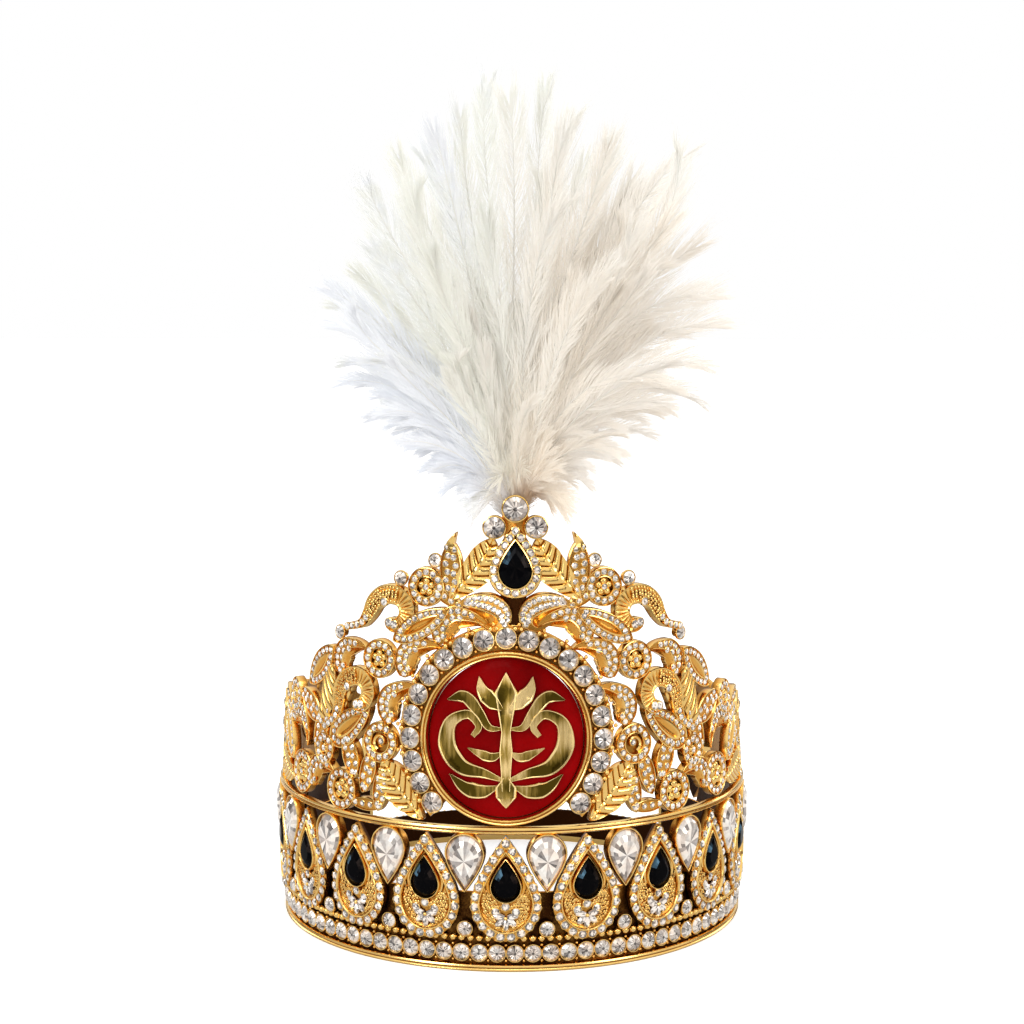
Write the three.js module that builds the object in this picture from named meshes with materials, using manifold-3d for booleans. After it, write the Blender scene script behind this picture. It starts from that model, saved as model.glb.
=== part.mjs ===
// A jewelled taj crown: a gold-plated band of pear plaques, an openwork gallery of cast leaves and
// scrolls, a red enamel medallion in a halo of round stones, and a feather plume behind the finial.
// Millimetres, +Z up, the front faces -Y, and the origin is the centre of the base ring's underside.
// Places on the wall are given as an azimuth in degrees (0 at the front, + towards +X) and a height.
import * as THREE from 'three';
import { mergeVertices } from 'three/addons/utils/BufferGeometryUtils.js';
import Module from 'manifold-3d';

const wasm = await Module();
wasm.setup();

// ---- driving dimensions ----------------------------------------------------------------------
const GAP = 0.3;                      // left between pieces that touch
const RING_FACETS = 48;               // flats round every full ring
const CAST_DEPTH = 3.2;               // thickness of the gallery castings
const OPEN_END = 135.5;                // azimuth where the decorated wall ends, at both sides
const BEYOND = 99;                    // a radius outside every wall, where cuts may end

const baseRing = { radius: 88, depth: 3.2, height: 2.6 };
const upperRing = { radius: 89.5, depth: 3, bottom: 50.9, height: 2.8 };
const strip = { inner: 86.2, outer: 87.4, high: 29 };
const endPost = { width: 3.6, back: 86.4, front: 89.6 };
const beadRing = { outer: 89.8, height: 12.4, thickness: 3 };
const rowStone = { count: 86, radius: 3.2, neck: 1.2, height: 6.8, depth: 2.2 };

const plaque = { step: 18.8, pairs: 6, width: 26.6, height: 39.7, bottom: 11.3, back: 87.1, front: 91.2 };
const recess = { width: 19.4, height: 28.8, bottom: 15.2, depth: 1.2 };
const blackPear = { width: 9.6, height: 14.8, bottom: 27.1, depth: 2.6 };

const cup = { width: 15, height: 22, top: 51.4, back: 86.8, floor: 88.2, front: 91 };
const clearPear = { width: 13.4, height: 20.4, depth: 3.4 };
const spacer = { height: 16.1, cupRadius: 3.1, back: 86.6, front: 89.3, radius: 2.65, depth: 2.2 };

const wall = { radius: 90, foot: 53.7, lean: 0.06 };   // the gallery leans in by this much per mm
const medal = { height: 85.4, radius: 31.3, rimWidth: 2.4, back: -4.6, front: 1.2 };
const enamel = { back: -3.8, front: -1.6 };
const scroll = { front: -0.4 };
const halo = { radius: 35.9, inner: 31.6, outer: 40.4, reach: 132, count: 21, front: -0.9 };
const strap = { bottom: 121, top: 139, half: 5, front: -2.3 };
const haloStone = { radius: 4, neck: 1.4, depth: 2.8 };

const finial = { width: 20.6, height: 26.6, bottom: 135.2, back: -4, front: 0.6, cupFront: 0 };
const finialPear = { width: 11.4, height: 16, bottom: 139.6, depth: 3 };
const finialTop = { height: 167.2, cupRadius: 4.95, radius: 4.4, depth: 3 };
const finialBridge = { height: 162.4, length: 10, width: 15, front: -1.4 };
const finialSide = { azimuth: 5.1, height: 160.6, cupRadius: 4.35, radius: 3.8, depth: 2.8 };

const socket = { radius: 4.6, bore: 3.1, bottom: 146, top: 169, floor: 1.5, distance: 74.2 };
const plumeFlatness = 0.62;           // depth over width
const plumeShift = 0.7;               // the plume spreads a little further to +X
const plumeFacets = 20;
const behindFinial = THREE.MathUtils.degToRad(2.2);   // turn of the socket and the plume about the crown's axis

// ---- materials -------------------------------------------------------------------------------
const gold = new THREE.MeshStandardMaterial({ color: 0xe8b040, roughness: 0.24, metalness: 1 });
const crystal = new THREE.MeshStandardMaterial({ color: 0xe6e1e3, roughness: 0.05, metalness: 0.4 });
const jet = new THREE.MeshStandardMaterial({ color: 0x050609, roughness: 0.08, metalness: 0 });
const redEnamel = new THREE.MeshStandardMaterial({ color: 0x96000a, roughness: 0.12, metalness: 0 });
const feather = new THREE.MeshStandardMaterial({ color: 0xf1e9dc, roughness: 0.9, metalness: 0 });

// ---- solids ----------------------------------------------------------------------------------
/** A closed three.js geometry as a manifold solid. */
function solidOf(geometry) {
  const bare = geometry.clone();
  bare.deleteAttribute('normal');
  bare.deleteAttribute('uv');
  const merged = mergeVertices(bare, 1e-3);
  return new wasm.Manifold(new wasm.Mesh({
    numProp: 3,
    vertProperties: new Float32Array(merged.attributes.position.array),
    triVerts: new Uint32Array(merged.index.array),
  }));
}

/** Adds a solid to the crown as a named mesh. */
const crown = new THREE.Group();
function addPiece(name, solid, material) {
  const { vertProperties, triVerts } = solid.getMesh();
  const geometry = new THREE.BufferGeometry();
  geometry.setAttribute('position', new THREE.BufferAttribute(vertProperties, 3));
  geometry.setIndex(new THREE.BufferAttribute(triVerts, 1));
  const mesh = new THREE.Mesh(geometry, material);
  mesh.name = name;
  crown.add(mesh);
}

const joined = (solids) => solids.reduce((whole, next) => whole.add(next));

/** A ring about the crown's axis: the closed section is a list of [radius, height]. */
function ringSolid(section, facets = RING_FACETS) {
  const points = [...section, section[0]].map(([radius, height]) => new THREE.Vector2(radius, height));
  return solidOf(new THREE.LatheGeometry(points, facets).rotateX(Math.PI / 2));
}

/** The wedge of space between the wall's two open ends, used to cut full rings to a C. */
function rearWedge(fromHeight) {
  const half = THREE.MathUtils.degToRad(180 - OPEN_END);
  const reach = 160;
  const outline = new THREE.Shape([
    new THREE.Vector2(0, 0),
    new THREE.Vector2(reach * Math.sin(half), reach * Math.cos(half)),
    new THREE.Vector2(-reach * Math.sin(half), reach * Math.cos(half)),
  ]);
  const prism = new THREE.ExtrudeGeometry(outline, { depth: 200, bevelEnabled: false });
  return solidOf(prism.translate(0, 0, fromHeight));
}

/** Radius of the gallery's outer surface at a height. */
const wallRadius = (height) => wall.radius - wall.lean * (height - wall.foot);

/** Degrees to +X by which a casting at a height was soldered: none at the medallion, 2.2 at the top. */
const drift = (height) => 2.2 * THREE.MathUtils.smoothstep(height, 110, 132);

/** Frame that stands on the crown: x along the wall, y up, z outwards, turned about z in degrees. */
function standingFrame(azimuth, height, radius, turn = 0, lean = 0) {
  const angle = THREE.MathUtils.degToRad(azimuth);
  const along = new THREE.Vector3(Math.cos(angle), Math.sin(angle), 0);
  const outwards = new THREE.Vector3(Math.sin(angle), -Math.cos(angle), lean).normalize();
  const up = new THREE.Vector3().crossVectors(outwards, along);
  const place = new THREE.Vector3(radius * Math.sin(angle), -radius * Math.cos(angle), height);
  const turned = new THREE.Matrix4().makeRotationZ(THREE.MathUtils.degToRad(-turn));
  return new THREE.Matrix4().makeBasis(along, up, outwards).setPosition(place).multiply(turned);
}

/** An outline extruded outwards in a frame, from depth back to depth front. */
function plateSolid(outline, frame, back, front) {
  const plate = new THREE.ExtrudeGeometry(outline, { depth: front - back, bevelEnabled: false });
  return solidOf(plate.translate(0, 0, back).applyMatrix4(frame));
}

/** A round stone: a flat back and sides that slope in to its table. */
function roundStone(radius, depth, frame, facets = 8) {
  const profile = [[0, 0], [radius, 0], [radius * 0.6, depth], [0, depth]];
  const points = profile.map(([x, y]) => new THREE.Vector2(x, y));
  return solidOf(new THREE.LatheGeometry(points, facets).rotateX(Math.PI / 2).applyMatrix4(frame));
}

// ---- outlines, each centred on its own origin ------------------------------------------------
/** A pear: half its width follows a circle up to the widest level, then narrows to the tip. */
function pearOutline(width, height, points = 10) {
  const widest = 0.36;
  const outline = [];
  for (let i = 0; i < points; i += 1) {
    const angle = (2 * Math.PI * i) / points;
    const level = (1 + Math.cos(angle)) / 2;
    const share = level < widest
      ? Math.sqrt(1 - ((widest - level) / widest) ** 2)
      : 1 - ((level - widest) / (1 - widest)) ** 1.5;
    const half = (width / 2) * share * (angle < Math.PI ? -1 : 1);
    outline.push(new THREE.Vector2(half, (level - 0.5) * height));
  }
  return new THREE.Shape(outline);
}

/** A leaf, pointed at both ends, along y. */
function leafOutline(length, width, points = 6) {
  const outline = [];
  for (let i = 0; i < points; i += 1) {
    const angle = (2 * Math.PI * i) / points;
    outline.push(new THREE.Vector2(-Math.sin(angle) * width / 2, Math.cos(angle) * length / 2));
  }
  return new THREE.Shape(outline);
}

/** A disc, or an oval when length and width differ. */
const ovalOutline = (length, width) => leafOutline(length, width, 8);

/** A crescent open towards -y: a band along an arc, thickest in the middle. */
function crescentOutline(length, width) {
  const stations = 4;
  const reach = THREE.MathUtils.degToRad(112);
  const thick = width * 0.44;
  const radius = (length - thick) / 2;
  const outer = [];
  const inner = [];
  for (let i = 0; i < stations; i += 1) {
    const share = i / (stations - 1);
    const angle = reach * (2 * share - 1);
    const half = (thick / 2) * (0.45 + 0.55 * Math.sin(Math.PI * share));
    const point = (distance) => new THREE.Vector2(distance * Math.sin(angle), distance * Math.cos(angle));
    outer.push(point(radius + half));
    inner.unshift(point(radius - half));
  }
  return new THREE.Shape([...outer, ...inner]);
}

/** A shell curl: an oval with a hole through it. */
function shellOutline(length, width) {
  const outline = ovalOutline(length, width);
  outline.holes.push(new THREE.Path(leafOutline(length * 0.3, width * 0.3, 4).getPoints()));
  return outline;
}

/** An almond leaf with an open window. */
function windowLeafOutline(length, width) {
  const outline = leafOutline(length, width);
  outline.holes.push(new THREE.Path(leafOutline(length * 0.42, width * 0.3, 4).getPoints()));
  return outline;
}

const outlines = {
  leaf: leafOutline,
  window: windowLeafOutline,
  roundel: ovalOutline,
  shell: shellOutline,
  crescent: crescentOutline,
};

// ---- the gallery's castings on the +X side; the other side mirrors them -----------------------
// kind, azimuth, height, turn of its long axis (clockwise from upright), length, width
const castings = [
  ['leaf', 9.6, 144.5, -30, 28, 11],
  ['leaf', 15.8, 145.5, 0, 22, 8.5],
  ['roundel', 19.8, 148.2, 0, 6, 6],
  ['roundel', 22.6, 139.6, 0, 14.4, 14.4],
  ['roundel', 29, 141, 0, 6.4, 6.4],
  ['leaf', 16.5, 134.8, 60, 13, 6],
  ['shell', 31, 131.2, 8, 19, 16],
  ['leaf', 38.4, 124.8, 148, 20, 7],
  ['leaf', 45.6, 118.4, 95, 13, 6],
  ['window', 23, 125.6, 123, 28, 10.5],
  ['crescent', 6.4, 130.2, 10, 22, 15],
  ['crescent', 13.2, 122.6, 26, 22, 15],
  ['crescent', 22.6, 111.8, 52, 22, 15],
  ['crescent', 27.4, 96.6, 76, 22, 15],
  ['roundel', 32.8, 111.2, 0, 14.4, 14.4],
  ['crescent', 41.6, 110, 8, 19.5, 13],
  ['shell', 38.4, 100, 8, 18.5, 16],
  ['leaf', 44.6, 93, 152, 23, 7.5],
  ['leaf', 49.8, 96, -20, 22, 10],
  ['window', 53.4, 104.6, -44, 23, 11],
  ['roundel', 31.4, 81, 0, 15, 15],
  ['leaf', 34.8, 70, 165, 18, 7.5],
  ['window', 41.2, 85.2, 127, 26, 12],
  ['leaf', 40.6, 74, 20, 17, 8.5],
  ['roundel', 43.2, 61.2, 0, 15.6, 15.6],
  ['leaf', 25.4, 64, 38, 27, 11.5],
  ['leaf', 31, 64, -6, 17, 7],
  ['leaf', 35, 57.5, 90, 15, 8],
  ['crescent', 51.4, 64, -12, 19.5, 13],
  ['leaf', 52, 82, 160, 20, 9],
  ['roundel', 50.2, 74.4, 0, 12, 12],
  ['leaf', 57.6, 88.6, 62, 20, 9.5],
];

// One run of the side and back pattern, repeated round to the open end: offsets in azimuth and in
// height, the height running from the upper ring (0) to the wall's top edge there (1).
const runLength = 24;
const runStart = 60.5;
const runCount = 3;
const runPattern = [
  ['roundel', 0, 0.18, 0, 16.6, 16.6],
  ['leaf', 12.2, 0.18, 80, 27, 11],
  ['crescent', 2.8, 0.56, -30, 22, 14],
  ['window', 12.6, 0.56, 42, 26, 12],
  ['leaf', 20, 0.5, -38, 25, 11],
  ['shell', 22.4, 0.86, 8, 15, 15],
  ['roundel', 7, 0.86, 0, 13.2, 13.2],
  ['leaf', 15.4, 0.88, 64, 23, 10],
];

/** Height of the wall's top edge on the sides and the back. */
function topEdge(azimuth) {
  const fall = Math.min(Math.max((azimuth - 52) / 46, 0), 1);
  return 112 - 32 * Math.sin((Math.PI / 2) * fall) - 0.09 * Math.max(azimuth - 98, 0);
}

function allCastings() {
  const rows = [...castings];
  for (let run = 0; run < runCount; run += 1) {
    for (const [kind, step, level, turn, length, width] of runPattern) {
      const azimuth = runStart + run * runLength + step;
      const height = wall.foot + level * (topEdge(azimuth) - wall.foot);
      rows.push([kind, azimuth, height, turn, length, width]);
    }
  }
  return rows;
}

function castingSolid([kind, azimuth, height, turn, length, width], side) {
  const place = side * azimuth + drift(height);
  const frame = standingFrame(place, height, wallRadius(height), side * turn, wall.lean);
  return plateSolid(outlines[kind](length, width), frame, -CAST_DEPTH, 0);
}

/** A patch of the curved wall at the front: an outline in wall millimetres between two depths. */
function wallPatch(outline, back, front) {
  const low = wall.foot - 4;
  const high = medal.height + 60;
  const shell = ringSolid([
    [wallRadius(low) + back, low],
    [wallRadius(low) + front, low],
    [wallRadius(high) + front, high],
    [wallRadius(high) + back, high],
  ]);
  const radius = wallRadius(medal.height);
  const project = (points) => points.map(
    (point) => new THREE.Vector2(radius * Math.sin(point.x / radius), point.y),
  );
  const projected = new THREE.Shape(project(outline.getPoints()));
  for (const hole of outline.holes) projected.holes.push(new THREE.Path(project(hole.getPoints())));
  const prism = new THREE.ExtrudeGeometry(projected, { depth: 120, bevelEnabled: false });
  return shell.intersect(solidOf(prism.rotateX(Math.PI / 2).translate(0, 0, medal.height)));
}

const circlePoints = (radius) => new THREE.EllipseCurve(0, 0, radius, radius).getPoints(32).slice(1);

/** A ring, or part of one, about the medallion's centre. */
function medalRing(inner, outer, reach = 180) {
  const turn = THREE.MathUtils.degToRad(reach);
  const from = Math.PI / 2 - turn;
  const to = Math.PI / 2 + turn;
  if (reach === 180) {
    const full = new THREE.Shape(circlePoints(outer));
    if (inner) full.holes.push(new THREE.Path(circlePoints(inner)));
    return full;
  }
  return new THREE.Shape([
    ...new THREE.EllipseCurve(0, 0, outer, outer, from, to).getPoints(24),
    ...new THREE.EllipseCurve(0, 0, inner, inner, to, from, true).getPoints(24),
  ]);
}

// ---- the band --------------------------------------------------------------------------------
function bandFrame() {
  const { radius, depth, height } = baseRing;
  const bead = beadRing.height;
  const half = beadRing.thickness / 2;
  const top = upperRing.bottom + upperRing.height;
  const upperIn = upperRing.radius - upperRing.depth / 2;
  const upperOut = upperRing.radius + upperRing.depth / 2;
  // the base ring, the strip behind the row of stones and the bead ring, in one section
  const parts = [ringSolid([
    [strip.inner, 0], [radius + depth / 2, 0], [radius + depth / 2, height], [strip.outer, height],
    [strip.outer, bead - half], [beadRing.outer, bead - half / 2], [beadRing.outer, bead + half / 2],
    [strip.outer, bead + half], [strip.inner, bead + half],
  ])];
  const low = bead + half;
  const raised = ringSolid([[strip.inner, low], [strip.outer, low],
    [strip.outer, strip.high], [strip.inner, strip.high]]);
  const upper = ringSolid([[upperIn, upperRing.bottom], [upperOut, upperRing.bottom],
    [upperOut, top], [upperIn, top]]);
  parts.push(joined([raised, upper]).subtract(rearWedge(low)));
  for (const side of [-1, 1]) {
    const tall = top - bead;
    parts.push(plateSolid(rectangle(endPost.width, tall),
      standingFrame(side * (OPEN_END - 1), bead + tall / 2, 0), endPost.back, endPost.front));
  }
  for (const azimuth of plaqueAzimuths()) {
    const middle = plaque.bottom + plaque.height / 2;
    const plate = plateSolid(pearOutline(plaque.width, plaque.height, 12),
      standingFrame(azimuth, middle, 0), plaque.back, plaque.front);
    const hollow = plateSolid(pearOutline(recess.width, recess.height),
      standingFrame(azimuth, recess.bottom + recess.height / 2, 0), plaque.front - recess.depth,
      BEYOND);
    parts.push(plate.subtract(hollow));
  }
  for (const azimuth of pearAzimuths()) {
    parts.push(plateSolid(pearOutline(cup.width, cup.height), cupFrame(azimuth), cup.back, cup.front));
    parts.push(plateSolid(leafOutline(2 * spacer.cupRadius, 2 * spacer.cupRadius),
      standingFrame(azimuth, spacer.height, 0), spacer.back, spacer.front));
  }
  const pockets = pearAzimuths().map((azimuth) => plateSolid(
    pearOutline(clearPear.width + 2 * GAP, clearPear.height + 2 * GAP), cupFrame(azimuth), cup.floor,
    BEYOND,
  ));
  return joined(parts).subtract(joined(pockets));
}

/** Azimuths of the plaques: one at the front and the same number at each side. */
function plaqueAzimuths() {
  return Array.from({ length: 2 * plaque.pairs + 1 }, (_, i) => (i - plaque.pairs) * plaque.step);
}

/** Azimuths of the clear pears, between and beyond the plaques. */
function pearAzimuths() {
  return Array.from({ length: 2 * plaque.pairs + 2 }, (_, i) => (i - plaque.pairs - 0.5) * plaque.step);
}

/** Frame of a clear pear: its tip points down, so the pear is turned over. */
const cupFrame = (azimuth) => standingFrame(azimuth, cup.top - cup.height / 2, 0, 180);

/** The row of round stones above the base ring: hexagonal stones joined at narrow necks. */
function rowStones() {
  const back = strip.outer + GAP;
  const half = rowStone.radius;
  const section = [[back, -half], [back + rowStone.depth, -half], [back + rowStone.depth, half],
    [back, half], [back, -half]];
  const points = section.map(([radius, height]) => new THREE.Vector2(radius, height));
  const columns = 3 * rowStone.count;
  const ring = new THREE.LatheGeometry(points, columns).rotateX(Math.PI / 2);
  const place = ring.attributes.position;
  for (let i = 0; i < place.count; i += 1) {
    const column = Math.floor(i / points.length);
    const share = column % 3 === 0 ? rowStone.neck / half : 1;
    place.setZ(i, rowStone.height + place.getZ(i) * share);
  }
  return solidOf(ring);
}

const rectangle = (width, height) => new THREE.Shape([[-1, -1], [1, -1], [1, 1], [-1, 1]]
  .map(([x, y]) => new THREE.Vector2(x * width / 2, y * height / 2)));

// ---- the gallery -----------------------------------------------------------------------------
function gallery() {
  const parts = [];
  for (const side of [-1, 1]) {
    for (const row of allCastings()) parts.push(castingSolid(row, side));
    parts.push(plateSolid(ovalOutline(2 * finialSide.cupRadius, 2 * finialSide.cupRadius),
      finialFrame(side * finialSide.azimuth, finialSide.height), finial.back, finial.cupFront));
  }
  parts.push(wallPatch(medalRing(halo.inner, halo.outer, halo.reach + 6), -CAST_DEPTH, halo.front));
  parts.push(plateSolid(pearOutline(finial.width, finial.height, 14),
    finialFrame(0, finial.bottom + finial.height / 2), finial.back, finial.front));
  parts.push(plateSolid(ovalOutline(2 * finialTop.cupRadius, 2 * finialTop.cupRadius),
    finialFrame(0, finialTop.height), finial.back, finial.cupFront));
  parts.push(plateSolid(ovalOutline(finialBridge.length, finialBridge.width),
    finialFrame(0, finialBridge.height), finial.back, finialBridge.front));
  parts.push(wallPatch(strapOutline(), -CAST_DEPTH, strap.front));
  const foot = wall.foot + GAP;
  const belowFoot = solidOf(new THREE.BoxGeometry(220, 220, foot).translate(0, 0, foot / 2));
  const room = haloStone.radius + GAP;
  const stoneBed = medalRing(halo.radius - room, halo.radius + room, halo.reach + 7);
  return joined(parts).subtract(belowFoot).subtract(wallPatch(stoneBed, halo.front, 12));
}

/** The strap behind the wall that joins the halo's plate to the finial, leaning with the castings. */
function strapOutline() {
  const { bottom, top, half } = strap;
  const aside = wall.radius * THREE.MathUtils.degToRad(drift(top));
  return new THREE.Shape([[-half, bottom], [half, bottom], [half + aside, top], [-half + aside, top]]
    .map(([x, height]) => new THREE.Vector2(x, height - medal.height)));
}

const finialFrame = (azimuth, height) => standingFrame(azimuth + drift(height), height, wallRadius(height),
  0, wall.lean);

/** The round stones of the halo: hexagonal stones joined at narrow necks along their arc. */
function haloStones() {
  const { radius, neck, depth } = haloStone;
  const pitch = THREE.MathUtils.degToRad((2 * halo.reach) / (halo.count - 1));
  const outer = [];
  const inner = [];
  for (let i = 0; i < 3 * halo.count; i += 1) {
    const angle = ((i + 0.5) / 3 - halo.count / 2) * pitch;
    const half = i % 3 === 1 ? radius : (radius + neck) / 2;
    const point = (distance) => new THREE.Vector2(distance * Math.sin(angle), distance * Math.cos(angle));
    outer.push(point(halo.radius + half));
    inner.unshift(point(halo.radius - half));
  }
  return wallPatch(new THREE.Shape([...outer, ...inner]), halo.front + GAP, halo.front + GAP + depth);
}

// ---- the medallion ---------------------------------------------------------------------------
/** The gold scroll on the enamel: a stem with a trefoil and two curling branches, one solid. */
function medallionScroll() {
  const back = enamel.front + GAP;
  const shapes = [leafAt(0, 1, 0, 38, 4.6), leafAt(0, 17, 0, 13, 7), leafAt(0, -18, 180, 11, 8)];
  for (const side of [-1, 1]) {
    shapes.push(leafAt(side * 4.6, 13.4, side * 44, 15, 6));
    shapes.push(leafAt(side * 7.4, -13.4, side * 112, 19, 5.6));
    shapes.push(crescentAt(side * 10, -2, side * 152, 20, 12));
    shapes.push(crescentAt(side * 11.6, 6.8, side * 20, 15, 10));
    shapes.push(leafAt(side * 4, -6, side * 118, 10, 4.6));
  }
  return joined(shapes.map((shape) => wallPatch(shape, back, scroll.front)));
}

/** An outline moved to a place on the medallion and turned clockwise from upright. */
function placedOutline(outline, x, y, turn) {
  const angle = THREE.MathUtils.degToRad(-turn);
  const centre = new THREE.Vector2();
  const points = outline.getPoints().map(
    (point) => point.clone().rotateAround(centre, angle).add(new THREE.Vector2(x, y)),
  );
  return new THREE.Shape(points);
}
const leafAt = (x, y, turn, length, width) => placedOutline(leafOutline(length, width), x, y, turn);
const crescentAt = (x, y, turn, length, width) => placedOutline(crescentOutline(length, width), x, y, turn);

// ---- the plume -------------------------------------------------------------------------------
/** The plume's outer form: [half width, height] of its sections, flattened from front to back. */
function plumeSolid() {
  const stem = socket.bore - GAP;
  const sections = [
    [0, socket.bottom + socket.floor + GAP], [stem, socket.bottom + socket.floor + GAP], [stem, socket.top],
    [4, 173.5], [17, 178], [30, 186], [46, 199], [58, 213], [65, 232], [63, 252], [56, 272], [46, 290],
    [31, 306], [15, 318], [0, 324],
  ];
  const points = sections.map(([half, height]) => new THREE.Vector2(half, height));
  const body = new THREE.LatheGeometry(points, plumeFacets).rotateX(Math.PI / 2);
  const place = body.attributes.position;
  for (let i = 0; i < place.count; i += 1) {
    const share = THREE.MathUtils.smoothstep(place.getZ(i), socket.top, 250);
    const flat = THREE.MathUtils.lerp(1, plumeFlatness, Math.min(share * 8, 1));
    place.setXYZ(i, place.getX(i) + plumeShift * share, place.getY(i) * flat - socket.distance, place.getZ(i));
  }
  return solidOf(body.rotateZ(behindFinial));
}

/** A plain tube behind the finial that the plume's stem stands in. */
function plumeSocket() {
  const { radius, bore, bottom, top, floor } = socket;
  const section = [[0, bottom], [radius, bottom], [radius, top], [bore, top],
    [bore, bottom + floor], [0, bottom + floor]];
  const points = section.map(([x, y]) => new THREE.Vector2(x, y));
  const tube = new THREE.LatheGeometry(points, 16).rotateX(Math.PI / 2);
  return solidOf(tube.translate(0, -socket.distance, 0).rotateZ(behindFinial));
}

// ---- the assembly ----------------------------------------------------------------------------
const twoDigits = (number) => String(number).padStart(2, '0');

addPiece('band_frame', bandFrame(), gold);
addPiece('gallery', gallery(), gold);
addPiece('row_stones', rowStones(), crystal);
plaqueAzimuths().forEach((azimuth, i) => {
  const frame = standingFrame(azimuth, blackPear.bottom + blackPear.height / 2, 0);
  const back = plaque.front - recess.depth + GAP;
  const stone = plateSolid(pearOutline(blackPear.width, blackPear.height), frame, back,
    back + blackPear.depth);
  addPiece(`black_pear_${twoDigits(i + 1)}`, stone, jet);
});
pearAzimuths().forEach((azimuth, i) => {
  const back = cup.floor + GAP;
  const stone = plateSolid(pearOutline(clearPear.width, clearPear.height), cupFrame(azimuth), back,
    back + clearPear.depth);
  addPiece(`clear_pear_${twoDigits(i + 1)}`, stone, crystal);
  const seat = standingFrame(azimuth, spacer.height, spacer.front + GAP);
  addPiece(`spacer_stone_${twoDigits(i + 1)}`, roundStone(spacer.radius, spacer.depth, seat), crystal);
});
addPiece('halo_stones', haloStones(), crystal);
addPiece('medallion_rim', wallPatch(medalRing(medal.radius - medal.rimWidth, medal.radius), medal.back,
  medal.front), gold);
addPiece('medallion_disc', wallPatch(medalRing(0, medal.radius - medal.rimWidth - GAP), enamel.back,
  enamel.front), redEnamel);
addPiece('medallion_scroll', medallionScroll(), gold);
addPiece('finial_pear', plateSolid(pearOutline(finialPear.width, finialPear.height),
  finialFrame(0, finialPear.bottom + finialPear.height / 2), finial.front + GAP,
  finial.front + GAP + finialPear.depth), jet);
const finialSeat = (azimuth, height) => standingFrame(azimuth + drift(height), height,
  wallRadius(height) + finial.cupFront + GAP, 0, wall.lean);
addPiece('finial_stone_top', roundStone(finialTop.radius, finialTop.depth,
  finialSeat(0, finialTop.height), 12), crystal);
for (const [name, side] of [['left', -1], ['right', 1]]) {
  addPiece(`finial_stone_${name}`, roundStone(finialSide.radius, finialSide.depth,
    finialSeat(side * finialSide.azimuth, finialSide.height), 12), crystal);
}
addPiece('plume_socket', plumeSocket(), gold);
addPiece('plume', plumeSolid(), feather);

export default crown;
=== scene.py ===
# A jewelled taj crown: a gold-plated band of pear plaques, an openwork gallery of castings set with
# small stones, a red enamel medallion in a halo of brilliants, and a plume of white hackles.
# Sizes are in millimetres until a mesh is made. Places on the crown are an azimuth in degrees
# (0 at the front, + towards +X) and a height.
import bmesh
import bpy
import numpy as np
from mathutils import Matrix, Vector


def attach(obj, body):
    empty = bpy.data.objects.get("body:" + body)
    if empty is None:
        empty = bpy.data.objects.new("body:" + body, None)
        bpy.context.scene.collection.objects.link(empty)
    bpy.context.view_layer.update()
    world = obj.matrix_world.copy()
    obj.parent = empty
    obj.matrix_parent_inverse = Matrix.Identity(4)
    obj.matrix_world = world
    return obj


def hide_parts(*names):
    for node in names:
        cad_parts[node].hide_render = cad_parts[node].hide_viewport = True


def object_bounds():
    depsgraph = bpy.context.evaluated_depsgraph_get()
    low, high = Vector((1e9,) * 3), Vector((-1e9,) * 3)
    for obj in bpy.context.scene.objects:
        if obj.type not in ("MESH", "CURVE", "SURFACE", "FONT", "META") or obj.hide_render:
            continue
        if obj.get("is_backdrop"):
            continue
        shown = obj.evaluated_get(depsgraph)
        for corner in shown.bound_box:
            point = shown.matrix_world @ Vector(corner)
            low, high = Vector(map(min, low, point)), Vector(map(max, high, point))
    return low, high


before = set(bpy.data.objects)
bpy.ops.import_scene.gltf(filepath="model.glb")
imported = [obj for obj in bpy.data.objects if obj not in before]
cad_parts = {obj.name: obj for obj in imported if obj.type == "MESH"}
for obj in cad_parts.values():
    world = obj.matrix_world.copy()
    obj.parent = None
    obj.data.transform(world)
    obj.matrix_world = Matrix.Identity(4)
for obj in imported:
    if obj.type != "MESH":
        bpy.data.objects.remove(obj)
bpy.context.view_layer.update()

# ---- the studio ----
# The crown stands on a pale floor in a white studio. Soft boxes stand to the left, to the right,
# above and behind it, and polished metal also mirrors the room's darker middle tones.
def put(name, data):
    """A new object in the scene that shows some data."""
    made = bpy.data.objects.new(name, data)
    bpy.context.scene.collection.objects.link(made)
    return made


view_azimuth = np.radians(1.4)
view_distance, view_height, view_pitch = 0.8838, 0.271, np.radians(7.47)
camera = put("camera", bpy.data.cameras.new("camera"))
bpy.context.scene.camera = camera
camera.data.lens = 80.5
camera.data.sensor_width = 36
camera.location = (view_distance * np.sin(view_azimuth), -view_distance * np.cos(view_azimuth), view_height)
camera.rotation_euler = (np.pi / 2 - view_pitch, 0, view_azimuth)
bpy.context.scene.view_settings.view_transform = "Standard"


def soft_box(name, place, aim, size, power, colour):
    """A square lamp at a place, turned to face another."""
    lamp = put(name, bpy.data.lights.new(name, "AREA"))
    lamp.data.shape, lamp.data.size, lamp.data.energy, lamp.data.color = "SQUARE", size, power, colour
    lamp.location = place
    way = np.subtract(aim, place)
    lamp.rotation_euler = (np.arctan2(np.hypot(way[0], way[1]), -way[2]), 0, np.arctan2(-way[0], way[1]))


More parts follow.
